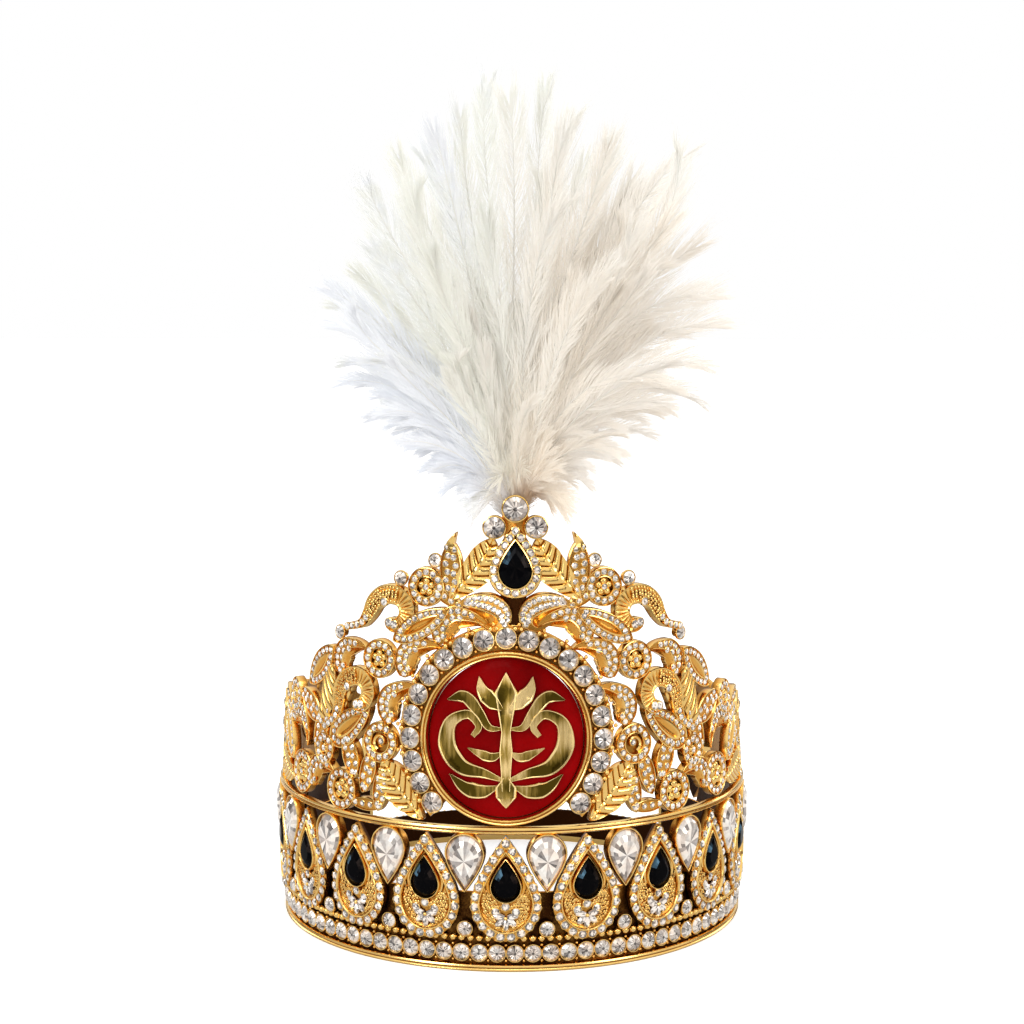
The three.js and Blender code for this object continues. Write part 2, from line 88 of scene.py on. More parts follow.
soft_box("left_box", (-0.95, -1.15, 0.85), (0, 0, 0.12), 0.55, 8.5, (0.93, 0.97, 1.0))
soft_box("right_box", (1.15, -0.9, 0.55), (0, 0, 0.12), 0.5, 4.5, (1.0, 0.93, 0.85))
soft_box("top_box", (0.1, -0.35, 1.35), (0, 0, 0.1), 0.6, 4.2, (1.0, 0.99, 0.97))
soft_box("low_box", (-0.15, -1.5, 0.12), (0, 0, 0.06), 0.35, 1.2, (1.0, 0.98, 0.95))
soft_box("left_rim_box", (-0.9, 0.75, 0.5), (0, 0, 0.15), 0.5, 2.6, (1.0, 1.0, 1.0))
soft_box("right_rim_box", (0.9, 0.7, 0.45), (0, 0, 0.15), 0.5, 2.6, (1.0, 0.97, 0.93))


class Socket:
    """An output socket of a paint's node. Arithmetic on it adds Math nodes to that paint."""

    def __init__(self, paint, plug):
        self.paint, self.plug = paint, plug

    def __add__(self, other):
        return self.paint.math("ADD", self, other)

    def __mul__(self, other):
        return self.paint.math("MULTIPLY", self, other)

    def __sub__(self, other):
        return self.paint.math("SUBTRACT", self, other)

    def __rsub__(self, other):
        return self.paint.math("SUBTRACT", other, self)

    __radd__, __rmul__ = __add__, __mul__


class Paint:
    """A node tree, and the short ways of adding to it."""

    def __init__(self, name, slot=None, tree=None):
        if tree is None:
            self.material = bpy.data.materials.new(name)
            self.material.use_nodes = True
            tree = self.material.node_tree
        tree.nodes.clear()
        self.tree, self.slot = tree, slot

    def node(self, kind, output=0, settings=None, **inputs):
        """Adds a node: its settings first, then its sockets, which are called by name, with _ for a
        space, or by i and their number."""
        made = self.tree.nodes.new("ShaderNode" + kind)
        for key, value in (settings or {}).items():
            if key == "stops":
                elements = made.color_ramp.elements
                for count, (position, colour) in enumerate(value):
                    element = elements[count] if count < 2 else elements.new(1)
                    element.position, element.color = position, (*colour, 1)
            else:
                setattr(made, key, value)
        for key, value in inputs.items():
            name = int(key[1:]) if key[1:].isdigit() else key.replace("_", " ")
            if isinstance(value, Socket):
                self.tree.links.new(value.plug, made.inputs[name])
            else:
                made.inputs[name].default_value = value
        return Socket(self, made.outputs[output])

    def math(self, operation, first, second):
        return self.node("Math", settings={"operation": operation}, i0=first, i1=second)

    def blend(self, share, first, second, how="MIX"):
        """Mixes two colours by a share."""
        return self.node("Mix", 2, {"data_type": "RGBA", "blend_type": how}, i0=share, i6=first, i7=second)

    def ramp(self, value, *stops):
        """Turns a value to a colour by stops of (value, colour)."""
        return self.node("ValToRGB", settings={"stops": stops}, Fac=value)

    def noise(self, place, scale, detail=3.0, roughness=0.55):
        return self.node("TexNoise", "Fac", Vector=place, Scale=scale, Detail=detail, Roughness=roughness)

    def attribute(self, name):
        return self.node("Attribute", "Fac", {"attribute_name": name})

    def place(self):
        return self.node("TexCoord", "Object")

    def bump(self, height, strength, distance):
        return self.node("Bump", Height=height, Strength=strength, Distance=distance)

    def finish(self, shader, end="OutputMaterial"):
        """Leads a shader to the tree's output."""
        self.tree.links.new(shader.plug, self.tree.nodes.new("ShaderNode" + end).inputs[0])


# The room: white for the eye and for soft surfaces, with darker bands where gloss mirrors it.
room = bpy.data.worlds.new("room")
room.use_nodes = True
bpy.context.scene.world = room
air = Paint("room", tree=room.node_tree)
heading = air.node("TexCoord", "Generated")
rise = air.node("SeparateXYZ", "Z", Vector=heading)
banks = air.noise(heading, 2.3, 1.0) * 0.5
mirrored = air.ramp(rise * 0.5 + banks + 0.25, (0.28, (0.9, 0.87, 0.82)), (0.40, (0.10, 0.08, 0.06)),
                    (0.60, (0.2, 0.17, 0.14)), (0.70, (1.1, 1.08, 1.05)))
glossy, seen = (air.node("LightPath", ray) for ray in ("Is Glossy Ray", "Is Camera Ray"))
lit = air.blend(glossy, (0.9, 0.9, 0.9, 1), mirrored)
air.finish(air.node("Background", Color=air.blend(seen, lit, (1, 1, 1, 1)), Strength=1.0), "OutputWorld")

mesh = bpy.data.meshes.new("floor")
mesh.from_pydata([(-4, -4, 0), (4, -4, 0), (4, 4, 0), (-4, 4, 0)], [], [(0, 1, 2, 3)])
floor = put("floor", mesh)
card = Paint("white_card")
grain = card.noise(card.place(), 60)
pale = card.ramp(grain, (0, (0.92, 0.92, 0.92)), (1, (0.95, 0.95, 0.95)))
grey = card.ramp(grain, (0, (0.62, 0.61, 0.59)), (1, (0.66, 0.65, 0.63)))
seen_card = card.node("BsdfPrincipled", Base_Color=pale, Roughness=0.9, Emission_Color=(1, 1, 1, 1),
                      Emission_Strength=0.3)
mirrored_card = card.node("BsdfPrincipled", Base_Color=grey, Roughness=0.9)
seen = card.node("LightPath", "Is Camera Ray")
card.finish(card.node("MixShader", Fac=seen, i1=mirrored_card, i2=seen_card))
floor.data.materials.append(card.material)
floor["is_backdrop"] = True


# ---- the base ring and its strip ----
# Brass wire with two polished ridges, bent to a ring, with a thin strip of sheet soldered inside it
# that backs the stones. Plated in yellow gold, like all the metal of the crown.
def quads(rows, columns, round_rows=False, round_columns=False):
    """Faces of a grid of points numbered row by row. A round way closes on its start."""
    row, column = np.meshgrid(np.arange(rows - (not round_rows)), np.arange(columns - (not round_columns)),
                              indexing="ij")
    below, right = (row + 1) % rows * columns, (column + 1) % columns
    here = row * columns
    return np.stack([here + column, below + column, below + right, here + right], -1).reshape(-1, 4)


class Piece:
    """Gathers surfaces, in millimetres, and makes them one mesh. An attribute goes with it that its
    paint reads: a painted recess shade or a tone for each point, or a facet's painted reflection."""

    def __init__(self, attribute="recess_shade"):
        self.attribute, self.faceted = attribute, attribute == "facet_reflection"
        self.points, self.faces, self.values, self.total = [], [], [], 0

    def add(self, points, faces, values=0.0):
        """Takes a surface, or a stack of copies that share its faces, with the attribute's values."""
        points = np.reshape(points, (-1, np.shape(points)[-2], 3))
        copies, count = points.shape[:2]
        starts = self.total + count * np.arange(copies)
        self.points.append(points.reshape(-1, 3))
        self.faces.append((faces[None] + starts[:, None, None]).reshape(-1, 4))
        each = len(faces) if self.faceted else count
        self.values.append(np.broadcast_to(values, (copies, each)).ravel())
        self.total += copies * count

    def set(self, surface, azimuth=0.0, height=0.0, values=None, turn=0.0):
        """Bends a surface of points, faces and values onto the crown's wall, at one or more places."""
        points, faces, own = surface
        self.add(on_wall(points, azimuth, height, turn), faces, own if values is None else values)

    def make(self, name, paint, *nodes, crease=38.0, closed=True):
        """Builds the mesh, closes its poles, turns its faces outwards and fixes it to the crown."""
        points, faces = np.concatenate(self.points) / 1000, np.concatenate(self.faces)
        mesh = bpy.data.meshes.new(name)
        mesh.vertices.add(len(points))
        mesh.vertices.foreach_set("co", points.astype(np.float32).ravel())
        mesh.loops.add(faces.size)
        mesh.loops.foreach_set("vertex_index", faces.astype(np.int32).ravel())
        mesh.polygons.add(len(faces))
        mesh.polygons.foreach_set("loop_start", np.arange(len(faces), dtype=np.int32) * 4)
        mesh.update(calc_edges=True)
        values = mesh.attributes.new(self.attribute, "FLOAT", "FACE" if self.faceted else "POINT")
        values.data.foreach_set("value", np.concatenate(self.values).astype(np.float32))
        if closed:
            welded = bmesh.new()
            welded.from_mesh(mesh)
            bmesh.ops.remove_doubles(welded, verts=welded.verts, dist=1.5e-6)
            bmesh.ops.recalc_face_normals(welded, faces=welded.faces)
            welded.to_mesh(mesh)
            welded.free()
        mesh.polygons.foreach_set("use_smooth", np.full(len(mesh.polygons), not self.faceted))
        if closed and not self.faceted:
            mesh.set_sharp_from_angle(angle=np.radians(crease))
        mesh.materials.append(paint.material)
        made = put(name, mesh)
        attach(made, "root")
        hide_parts(*nodes)


def in_threes(section):
    """A section's points as an array, with a recess shade of 0, no painted shade, where none is given."""
    return np.array([(*point, 0.0)[:3] for point in section])


def with_ends(rows):
    """Rows of points, with one more at each end where all of them meet in that row's middle."""
    first, last = (np.repeat(row.mean(1, keepdims=True), rows.shape[1], 1) for row in (rows[:1], rows[-1:]))
    return np.concatenate([first, rows, last])


def skin(flat, section, closed=True, ring=True):
    """The points, faces and painted recess shades of a surface. Its rows of flat points each follow a
    section and take their heights from it. Rows that aren't closed to a loop get ends, and a ring's
    sections are loops themselves."""
    heights = np.broadcast_to(section[None, :, 1:2], (*flat.shape[:2], 1))
    rows = np.concatenate([flat, heights], -1)
    rows = rows if closed else with_ends(rows)
    return rows.reshape(-1, 3), quads(*rows.shape[:2], closed, ring), np.tile(section[:, 2], len(rows))


def turned(section, reach=180.0):
    """A section of (radius, height, recess shade) carried round the crown in 240 steps, all the way or to
    an azimuth at each side. The recess shade is painted shade."""
    section = in_threes(section)
    around = np.radians(np.linspace(-reach, reach, 240, endpoint=reach < 180))[:, None]
    flat = np.stack([section[:, 0] * np.sin(around), -section[:, 0] * np.cos(around)], -1)
    return skin(flat, section, reach == 180)


# Polished plate with a fine cast grain. Painted shade in its colour: by the recess shade it goes from
# bright on the tops to redder in the hollows and near black-brown in deep grooves and on backing parts,
# and it is duller there.
gold = Paint("yellow_gold", "gold")
place = gold.place()
grain = gold.noise(place, 1500, 4.0, 0.6)
wear = gold.noise(place, 90, 3.0)
# Painted shade: the recess shade, with random wear and grain, darkens the colour down the ramp.
depth = gold.attribute("recess_shade") + (wear - 0.5) * 0.35 + (grain - 0.5) * 0.25
colour = gold.ramp(depth, (0.0, (0.87, 0.585, 0.198)), (0.42, (0.71, 0.34, 0.062)),
                   (1.0, (0.035, 0.011, 0.003)))
gold.finish(gold.node("BsdfPrincipled", Base_Color=colour, Metallic=1.0,
                      Roughness=depth * 0.16 + grain * 0.08 + wear * 0.08 + 0.08,
                      Normal=gold.bump(grain, 0.35, 0.00012)))

ring_section = [(86.4, 0.0), (89.1, 0.0), (89.5, 0.3), (89.65, 0.7), (89.45, 1.05), (89.0, 1.3, 1.0),
                (89.45, 1.5), (89.65, 1.9), (89.45, 2.35), (88.9, 2.6), (87.2, 2.6, 0.7), (86.4, 2.5)]
wall_end, gallery_foot = 134.5, 53.7
# The strip and its taller part behind the plaques carry a recess shade near 1 and above: painted shade that
# makes them near black-brown, for the dark inside of the band.
strip_section = [(86.3, 2.4, 1.4), (87.3, 2.4, 0.97), (87.3, 13.9, 0.97), (86.3, 13.9, 1.4)]
raised_section = [(86.3, 13.9, 1.4), (87.3, 13.9, 0.97), (87.3, 28.6, 0.97), (87.1, 29, 0.4), (86.5, 29, 0.4),
                  (86.3, 28.6, 1.4)]
base = Piece()
for section, reach in ((ring_section, 180), (strip_section, 180), (raised_section, wall_end)):
    base.add(*turned(section, reach))
base.make("base_ring", gold, "band_frame")

# ---- the row of stones above the base ring ----
# Eighty-six foil-backed brilliants stand edge to edge in thin round collars, with a string of plain
# gold beads soldered above them.
random = np.random.default_rng(23)


def lean_wall(height):
    """Radius of the wall: upright up to the gallery's foot, then leaning in by 6 in 100."""
    return 90 - 0.06 * np.maximum(height - gallery_foot, 0)


def on_wall(points, azimuth=0.0, height=0.0, turn=0.0):
    """Bends points (x along the wall, y up, z outwards) round the crown, after a clockwise turn.

    x becomes an angle, y a height and z is added to the wall's radius there."""
    azimuth, height, turn = (np.reshape(value, (-1, 1)) for value in (azimuth, height, turn))
    angle = np.radians(-turn)
    x, y, z = np.moveaxis(np.asarray(points, float), -1, 0)
    up = x * np.sin(angle) + y * np.cos(angle) + height
    around = np.radians(azimuth) + (x * np.cos(angle) - y * np.sin(angle)) / lean_wall(height)
    radius = lean_wall(up) + z
    return np.stack(np.broadcast_arrays(radius * np.sin(around), -radius * np.cos(around), up), -1)


def lathe(profile, sides, ring=False):
    """A profile of (radius, height, painted recess shade) turned about z: a radius of 0 is a closed pole,
    and the profile of a ring closes on its own start."""
    profile = in_threes(profile)
    angle = 2 * np.pi * np.arange(sides)[:, None] / sides
    flat = np.stack([profile[:, 0] * np.sin(angle), profile[:, 0] * np.cos(angle)], -1)
    return skin(flat, profile, True, ring)


def sized(surface, size=1.0, shift=(0, 0, 0)):
    """A surface made larger and moved. A stack of moves makes a stack of copies."""
    points, faces, values = surface
    return points * size + shift, faces, values


def upright_places(places, level):
    """Places of x and y as a stack of moves, all at one level."""
    return np.column_stack([places, np.full(len(places), level)])[:, None]


# A brilliant of radius 1: back, girdle, crown facets, table and a middle painted dark as the image of
# its culet. Every second point of the table's edge is a little higher, which tilts the facets to and fro.
brilliant_sides = 24
brilliant_profile = [(0, -0.1), (0.99, -0.1), (1, 0.12), (0.66, 0.42), (0.17, 0.40), (0, 0.38)]
brilliant = lathe(brilliant_profile, brilliant_sides)
brilliant[0][3::2 * len(brilliant_profile), 2] += 0.035
collar = lathe([(0.97, -0.2, 1.0), (1.14, -0.2, 0.4), (1.15, 0.08), (1.09, 0.2), (1.01, 0.2),
                (0.97, 0.1, 1.0)], 20, ring=True)


def brilliant_facets(copies):
    """Painted reflection of each facet: lighter and darker wedges by turns round a dark centre, with one
    side of every stone painted lighter than the other, as if lit from that side."""
    side = np.arange(brilliant_sides)
    around = 2 * np.pi * side / brilliant_sides
    crown, table = np.where(side % 4 < 2, 0.82, 0.62), np.where(side % 2, 0.54, 0.8)
    wedges = np.stack([0.5 + 0 * around, 0.42 + 0 * around, crown, table, 0.25 + 0 * around], -1)
    facets = np.tile(wedges, (copies, 1, 1))
    facets[:, :, 1:4] += random.normal(0, 0.16, (copies, brilliant_sides, 3))
    facets[:, :, 2:4] += 0.16 * np.sin(around + random.uniform(0, 6.3, (copies, 1)))[..., None]
    return np.clip(facets, 0, 1).reshape(copies, -1)


# Foil-backed cut glass under a clear polish: each facet has its own painted reflection, a brightness
# painted into its colour.
crystal = Paint("foiled_crystal", "crystal")
place = crystal.place()
tint = crystal.ramp(crystal.noise(place, 260, 1.0), (0.35, (1.0, 0.895, 0.80)), (0.65, (0.955, 0.94, 0.90)))
flaw = crystal.noise(place, 700, 3.0)
bright = crystal.ramp(crystal.attribute("facet_reflection") + (flaw - 0.5) * 0.3, (0.0, (0.012, 0.011, 0.012)),
                      (0.3, (0.10, 0.093, 0.095)), (0.6, (0.47, 0.44, 0.44)), (0.9, (1.0, 0.98, 0.97)))
colour = crystal.blend(1.0, bright, tint, "MULTIPLY")
crystal.finish(crystal.node("BsdfPrincipled", Base_Color=colour, Metallic=0.5, Roughness=flaw * 0.05 + 0.04,
                            IOR=1.6, Coat_Weight=1.0, Coat_Roughness=0.02))

row_count, row_height, row_radius = 86, 6.8, 3.05
row_azimuths = 360 / row_count * (np.arange(row_count) + 0.5)
row_seat = (0, 0, -1.5)
row = Piece("facet_reflection")
row.set(sized(brilliant, row_radius, row_seat), row_azimuths, row_height, brilliant_facets(row_count))
row.make("row_brilliants", crystal, "row_stones")
settings = Piece()
settings.set(sized(collar, row_radius, row_seat), row_azimuths, row_height)
bead = lathe([(0, -1), (0.62, -0.78), (1, 0), (0.75, 0.66), (0.4, 0.92), (0, 1)], 8)
bead_count, bead_height, bead_radius = 174, 12.4, 1.42
settings.set(sized(bead, bead_radius, (0, 0, -1.3)), 360 / bead_count * np.arange(bead_count), bead_height)
# Small round grains fill the triangles between the collars, above and below.
for grain_height in (row_height - 2.9, row_height + 2.9):
    settings.set(sized(bead, 0.62, (0, 0, -1.9)), row_azimuths + 180 / row_count, grain_height, 0.2)
settings.make("row_collars_and_beads", gold, "band_frame")


# ---- the pear plaques ----
# Thirteen cast plaques stand round the band. Each has a scalloped border of small stones in collars,
# a thin pear-shaped wire inside it, a black pear in a bezel, and below that a granulated floor with
# a flower of three round stones over a fan of five marquise petals.
def evenly(path, count, closed=False):
    """Points at equal distances along a flat path."""
    path = np.vstack([path, path[:1]]) if closed else path
    run = np.concatenate([[0], np.cumsum(np.hypot(*np.diff(path, axis=0).T))])
    at = np.linspace(0, run[-1], count, endpoint=not closed)
    return np.stack([np.interp(at, run, path[:, 0]), np.interp(at, run, path[:, 1])], -1)


def pear_loop(width, height, count=48, bottom=None):
    """A pear's outline, counterclockwise from its tip. Its half width follows a circle up to 36% of
    the height and then falls to the tip as one minus the 1.5th power of the way."""
    level = (1 + np.cos(np.linspace(0, np.pi, 200))) / 2
    lower = np.sqrt(np.clip(1 - ((0.36 - level) / 0.36) ** 2, 0, 1))
    upper = 1 - np.clip((level - 0.36) / 0.64, 0, 1) ** 1.5
    left = np.stack([-np.where(level < 0.36, lower, upper) * width / 2, (level - 0.5) * height], -1)
    loop = evenly(np.concatenate([left, left[-2:0:-1] * (-1, 1)]), count, closed=True)
    return loop if bottom is None else loop + (0, bottom + height / 2)


def outward(path, closed=False):
    """Unit normals of a flat path, to the right of its way, which is outwards on a counterclockwise loop."""
    way = np.roll(path, -1, 0) - np.roll(path, 1, 0) if closed else np.gradient(path, axis=0)
    normal = way[:, ::-1] * (1, -1)
    return normal / np.hypot(*normal.T)[:, None]


def carried(path, section, width=1.0, closed=False):
    """Carries a section of (share across, height, painted recess shade) along a flat path: a point goes
    sideways by its share of the width there, and out by its height. Open ends close on their middle."""
    section = in_threes(section)
    width = np.broadcast_to(width, len(path)).reshape(-1, 1, 1)
    flat = path[:, None] + outward(path, closed)[:, None] * section[None, :, :1] * width
    return skin(flat, section, closed)


def dished(outline, profile, centre=(0, 0)):
    """A closed plate: a profile of (share of the way in, height, painted recess shade) round a flat
    outline, from the back's middle over the edge to the front's middle."""
    profile = in_threes(profile)
    flat = outline[:, None] + (np.asarray(centre) - outline[:, None]) * profile[None, :, :1]
    return skin(flat, profile, True, ring=False)


small_sides = 8
small_stone = lathe([(0, -0.1), (1, -0.1), (0.98, 0.25), (0.56, 0.52), (0, 0.5)], small_sides)
small_collar = lathe([(0.93, -0.35, 1.0), (1.26, -0.3, 0.5), (1.2, 0.22), (1.02, 0.3, 0.1)], small_sides,
                     ring=True)


def small_facets(copies):
    """A small stone's painted facet reflections: mostly bright, with a few dark ones at random."""
    facets = random.uniform(0.5, 1.0, (copies, small_sides, 4))
    dark, table, crown = 0.42, 3, 2
    lit_table = facets[:, :, table] * 0.3 + 0.72
    facets[:, :, table] = np.where(random.random((copies, small_sides)) < 0.22, dark, lit_table)
    facets[:, :, crown] = np.where(random.random((copies, small_sides)) < 0.4, dark, facets[:, :, crown])
    return facets.reshape(copies, -1)


pear_sides = 24
pear_rings = [(1.0, 0.0), (0.0, 0.0), (0.0, 0.32), (0.2, 0.62), (0.42, 0.8)]   # share inwards, height
# Painted reflections of a clear pear's table facets: a brightness, and the number of facets in turn that
# share it.
clear_wedges = [(0.95, 2), (0.5, 2), (0.22, 1), (0.88, 2), (0.56, 3), (0.82, 2), (0.97, 1), (0.36, 2),
                (0.85, 2), (0.26, 2), (0.92, 2), (0.62, 2), (0.8, 1)]   # brightness, facets that share it
clear_pattern = np.repeat(*zip(*clear_wedges))


def cut_pear(width, height, depth, table_centre, table_height):
    """A pear stone, tip up: back, girdle, two rings of crown facets, and table facets that meet at a
    point table_centre of the way up from the bottom."""
    loop = pear_loop(width, height, pear_sides)
    middle = (0, (table_centre - 0.5) * height)
    profile = [(share, level * depth) for share, level in pear_rings] + [(1.0, table_height * depth)]
    return dished(loop, profile, middle)


plaque_step = 18.8
plaque_azimuths = plaque_step * np.arange(-6, 7)
count = len(plaque_azimuths)
wire_section = [(-0.45, -1.6, 0.8), (-0.4, 0.1), (-0.15, 0.42), (0.15, 0.42), (0.4, 0.1), (0.45, -1.6, 0.8)]
plate_front = 1.1
border = pear_loop(22.3, 34.6, 23, bottom=13.3)
plaques = Piece()
stones = Piece("facet_reflection")


def set_on_plaques(surface, piece=plaques, values=None):
    """Copies a surface to every plaque, its z counted from the plaques' front."""
    piece.set(sized(surface, 1, (0, 0, plate_front)), plaque_azimuths, 0, values)


plate_profile = [(1, -3.6, 1.2), (0, -3.6, 1.2), (0, -0.75, 0.5), (0.05, -0.55, 0.4), (0.2, -0.55, 0.4),
                 (0.25, -0.9, 0.7), (0.3, -1.6, 0.6), (1, -1.6, 0.6)]
set_on_plaques(dished(pear_loop(25.4, 38.4, 60, bottom=11.9), plate_profile, (0, 29)))
floor_width, floor_height, floor_bottom = 19.3, 29.8, 15.0
set_on_plaques(carried(pear_loop(floor_width, floor_height, 72, floor_bottom), wire_section, closed=True))
bezel_section = [(-0.75, -1.6, 1), (-0.35, 0.25, 0.3), (0.0, 0.62), (0.3, 0.5), (0.7, -0.4, 0.3),
                 (1.1, -1.6, 0.9)]
set_on_plaques(carried(pear_loop(10.6, 15.7, 56, bottom=26.4), bezel_section, 0.8, closed=True))
# Two smooth curved shoulders run down beside the black pear, with a dark piercing between them.
shoulder_section = [(-1, -1.6, 0.8), (-0.8, -0.25, 0.2), (0, 0.12), (0.8, -0.25, 0.2), (1, -1.6, 0.8)]
for side in (-1, 1):
    for offset, wide in ((0.9, 0.62), (2.35, 0.5)):
        wire = evenly(pear_loop(11.2 + 2 * offset, 17.6 + 3.4 * offset, 80, bottom=26.2 - offset)[3:29], 20)
        set_on_plaques(carried(wire * (side, 1), shoulder_section, wide))
# Granules cover the floor to the left, to the right and below the pear.
grid_x, grid_y = np.meshgrid(np.arange(-9, 9.1, 1.02), np.arange(15.5, 31.5, 0.9))
spots = np.stack([grid_x + 0.51 * (np.arange(len(grid_x)) % 2)[:, None], grid_y], -1).reshape(-1, 2)
spots += random.uniform(-0.26, 0.26, spots.shape)
across, up = np.abs(spots[:, 0]), spots[:, 1]
level = np.minimum((up - floor_bottom) / floor_height, 0.36)
inside = across < 9.0 * np.sqrt(np.clip(1 - ((0.36 - level) / 0.36) ** 2, 0, 1)) - 0.5
clear_of_pear = np.hypot(across, (up - 32.6) / 1.25) > 6.3
clear_of_flower = (np.hypot(across, up - 19.6) > 3.9) | (up > 24)
spots = spots[inside & clear_of_pear & clear_of_flower & (up < 31.2 - 0.12 * across)]
granule = lathe([(1, -0.6), (0.8, 0.5), (0, 0.95)], 6)
sizes = random.uniform(0.5, 0.82, len(spots))
levels = random.uniform(-1.55, -1.05, len(spots))
for spot, level, size in zip(spots, levels, sizes):
    set_on_plaques(sized(granule, (size, size, 1.3 * size), (*spot, level)), values=0.12)

border_places = [(*place, -0.5, 1.55) for place in border]
flower_places = [(-3.7, 22.6, -0.75, 1.5), (-0.1, 24.6, -0.75, 1.5), (3.6, 22.6, -0.75, 1.5)]
for *place, radius in border_places + flower_places:
    set_on_plaques(sized(small_stone, radius, place), stones, small_facets(count))
    set_on_plaques(sized(small_collar, radius, place))
flower_height = 20.3
petal = sized(small_stone, (1.3, 2.3, 1.6), (0, -2.4, plate_front - 0.75))
for turn in (104, 52, 0, -52, -104):
    stones.set(petal, plaque_azimuths, flower_height, small_facets(count), turn)
set_on_plaques(sized(bead, 0.75, (0, flower_height, -0.3)))
plaques.make("pear_plaques", gold, "band_frame")
stones.make("plaque_stones", crystal, "band_frame")

# Black glass, nearly black, with painted reflections on some facets: the facet reflection value lights them
# up to a cold blue glint.
jet = Paint("black_glass", "jet")
smudge = jet.noise(jet.place(), 400, 3.0)
facet_reflection = jet.attribute("facet_reflection")
colour = jet.ramp(facet_reflection + (smudge - 0.5) * 0.12, (0.1, (0.0015, 0.0015, 0.002)),
                  (0.45, (0.022, 0.016, 0.014)), (0.6, (0.008, 0.014, 0.021)), (1, (0.09, 0.18, 0.26)))
jet.finish(jet.node("BsdfPrincipled", Base_Color=colour, Roughness=smudge * 0.1 + 0.05, IOR=1.09))


def numbered(name, count):
    """The names of a row of like nodes."""
    return [f"{name}_{number:02d}" for number in range(1, count + 1)]


def pear_glints(copies):
    """Brightness of a black pear's facets: a cold light in the upper left ones, a dim warm one in the
    upper right ones, and hardly any elsewhere."""
    facets = random.uniform(0, 0.14, (copies, pear_sides, 5))
    facets[:, 2:5, 2:4] = random.uniform(0.5, 1.0, (copies, 3, 2))
    facets[:, 18:21, 2:4] = random.uniform(0.2, 0.45, (copies, 3, 2))
    return facets.reshape(copies, -1)


black = Piece("facet_reflection")
set_on_plaques(sized(cut_pear(9.5, 14.2, 2.7, 0.44, 0.8), 1, (0, 34.3, -1.0)), black, pear_glints(count))
black.make("black_pears", jet, *numbered("black_pear", count))

# ---- the clear pears and the small stones between the plaques ----
# Fourteen foil-backed pears hang between the plaques with their tips down, each in a deep cup with a
# thin gold line round its edge. A small round stone sits in a collar below each tip.
clear_azimuths = plaque_step * (np.arange(-7, 7) + 0.5)
count = len(clear_azimuths)
cups = Piece()
pear_centre = 40.4
loop = pear_loop(13.9, 21.0, 60) * (1, -1)
cup_section = [(-1.0, -3.0, 1), (-0.5, -0.25, 0.6), (-0.2, 0.3), (0.2, 0.3), (0.55, -0.4, 0.3),
               (0.75, -3.2, 0.8)]
# The backs of the cups, and the posts below the spacer stones, carry a recess shade of 0.8 and more: painted
# shade, near black-brown behind the stones.
back_profile = [(1, -3.2, 1.2), (0, -3.2, 1.2), (0, -2.2, 1), (1, -2.2, 1)]
for part in (carried(loop[::-1], cup_section, 0.75, closed=True), dished(loop, back_profile)):
    cups.set(sized(part, 1, (0, pear_centre, 1.0)), clear_azimuths)
spacer_radius, cup_radius, spacer_seat = 2.6, 2.65, (0, 16.1, 0.2)
post = lathe([(0, -3.6), (0.8, -3.6), (0.8, -0.2), (0, -0.2)], 12)
cups.set(sized(collar, cup_radius, spacer_seat), clear_azimuths)
cups.set(sized(post, (cup_radius, cup_radius, 1), spacer_seat), clear_azimuths, values=0.8)
cups.make("pear_cups", gold, "band_frame")

clears = Piece("facet_reflection")
clear_pear = sized(cut_pear(13.2, 20.2, 4.2, 0.47, 0.66), (1, -1, 1), (0, pear_centre, -0.9))
# Painted reflections of the clear pears' facets: the back and girdle at fixed greys, crown facets at random
# brightnesses, and table facets in the wedge pattern, turned at random.
facets = np.empty((count, pear_sides, 5))
facets[:, :, 0], facets[:, :, 1] = 0.5, 0.3
facets[:, :, 2:4] = random.choice([0.42, 0.58, 0.74, 0.88, 0.96], (count, pear_sides, 2),
                                  p=[0.16, 0.2, 0.24, 0.2, 0.2])
shares = clear_pattern[(np.arange(pear_sides) + random.integers(0, pear_sides, (count, 1))) % pear_sides]
facets[:, :, 4] = shares * 0.74 + 0.22 + random.normal(0, 0.035, (count, pear_sides))
clears.set(clear_pear, clear_azimuths, 0, np.clip(facets, 0, 1).reshape(count, -1))
clears.make("clear_pears", crystal, *numbered("clear_pear", count))
spacers = Piece("facet_reflection")
spacers.set(sized(brilliant, spacer_radius, spacer_seat), clear_azimuths, 0, brilliant_facets(count))
spacers.make("spacer_brilliants", crystal, *numbered("spacer_stone", count))

# ---- the upper ring and the end posts ----
# A second ridged wire closes the band above and carries the gallery. It ends in a plain post at
# each side of the open back.
upper_section = [(88.2, 50.9), (90.3, 50.9), (90.75, 51.2), (90.95, 51.6), (90.8, 52.05), (90.3, 52.3, 1.0),
                 (90.8, 52.5), (90.95, 52.95), (90.7, 53.45), (90.2, 53.65), (88.5, 53.65), (88.2, 53.3)]
upper = Piece()
upper.add(*turned(upper_section, wall_end + 1))
post_section = [(1.8, -3.5), (1.8, -0.7), (1.5, -0.4), (-1.5, -0.4), (-1.8, -0.7), (-1.8, -3.5)]
upper.set(carried(np.linspace((0, 12.4), (0, 53.5), 8), post_section), (-wall_end, wall_end))
upper.make("upper_ring", gold, "band_frame")

# ---- the gallery's crescents ----
# The openwork wall above the upper ring is soldered together from small castings, the same at both
# sides. Crescents arch over the medallion's halo: each is a comma with a raised edge, a floor paved
# with small stones, and a smooth trough along its inner side.
gallery_stones, gallery_collars = Piece("facet_reflection"), Piece()


def drift(height):
    """Degrees to +X by which a casting at a height was soldered: none at the medallion, 2.2 at the top."""
    rise = np.clip((height - 110) / 22, 0, 1)
    return 2.2 * rise ** 2 * (3 - 2 * rise)


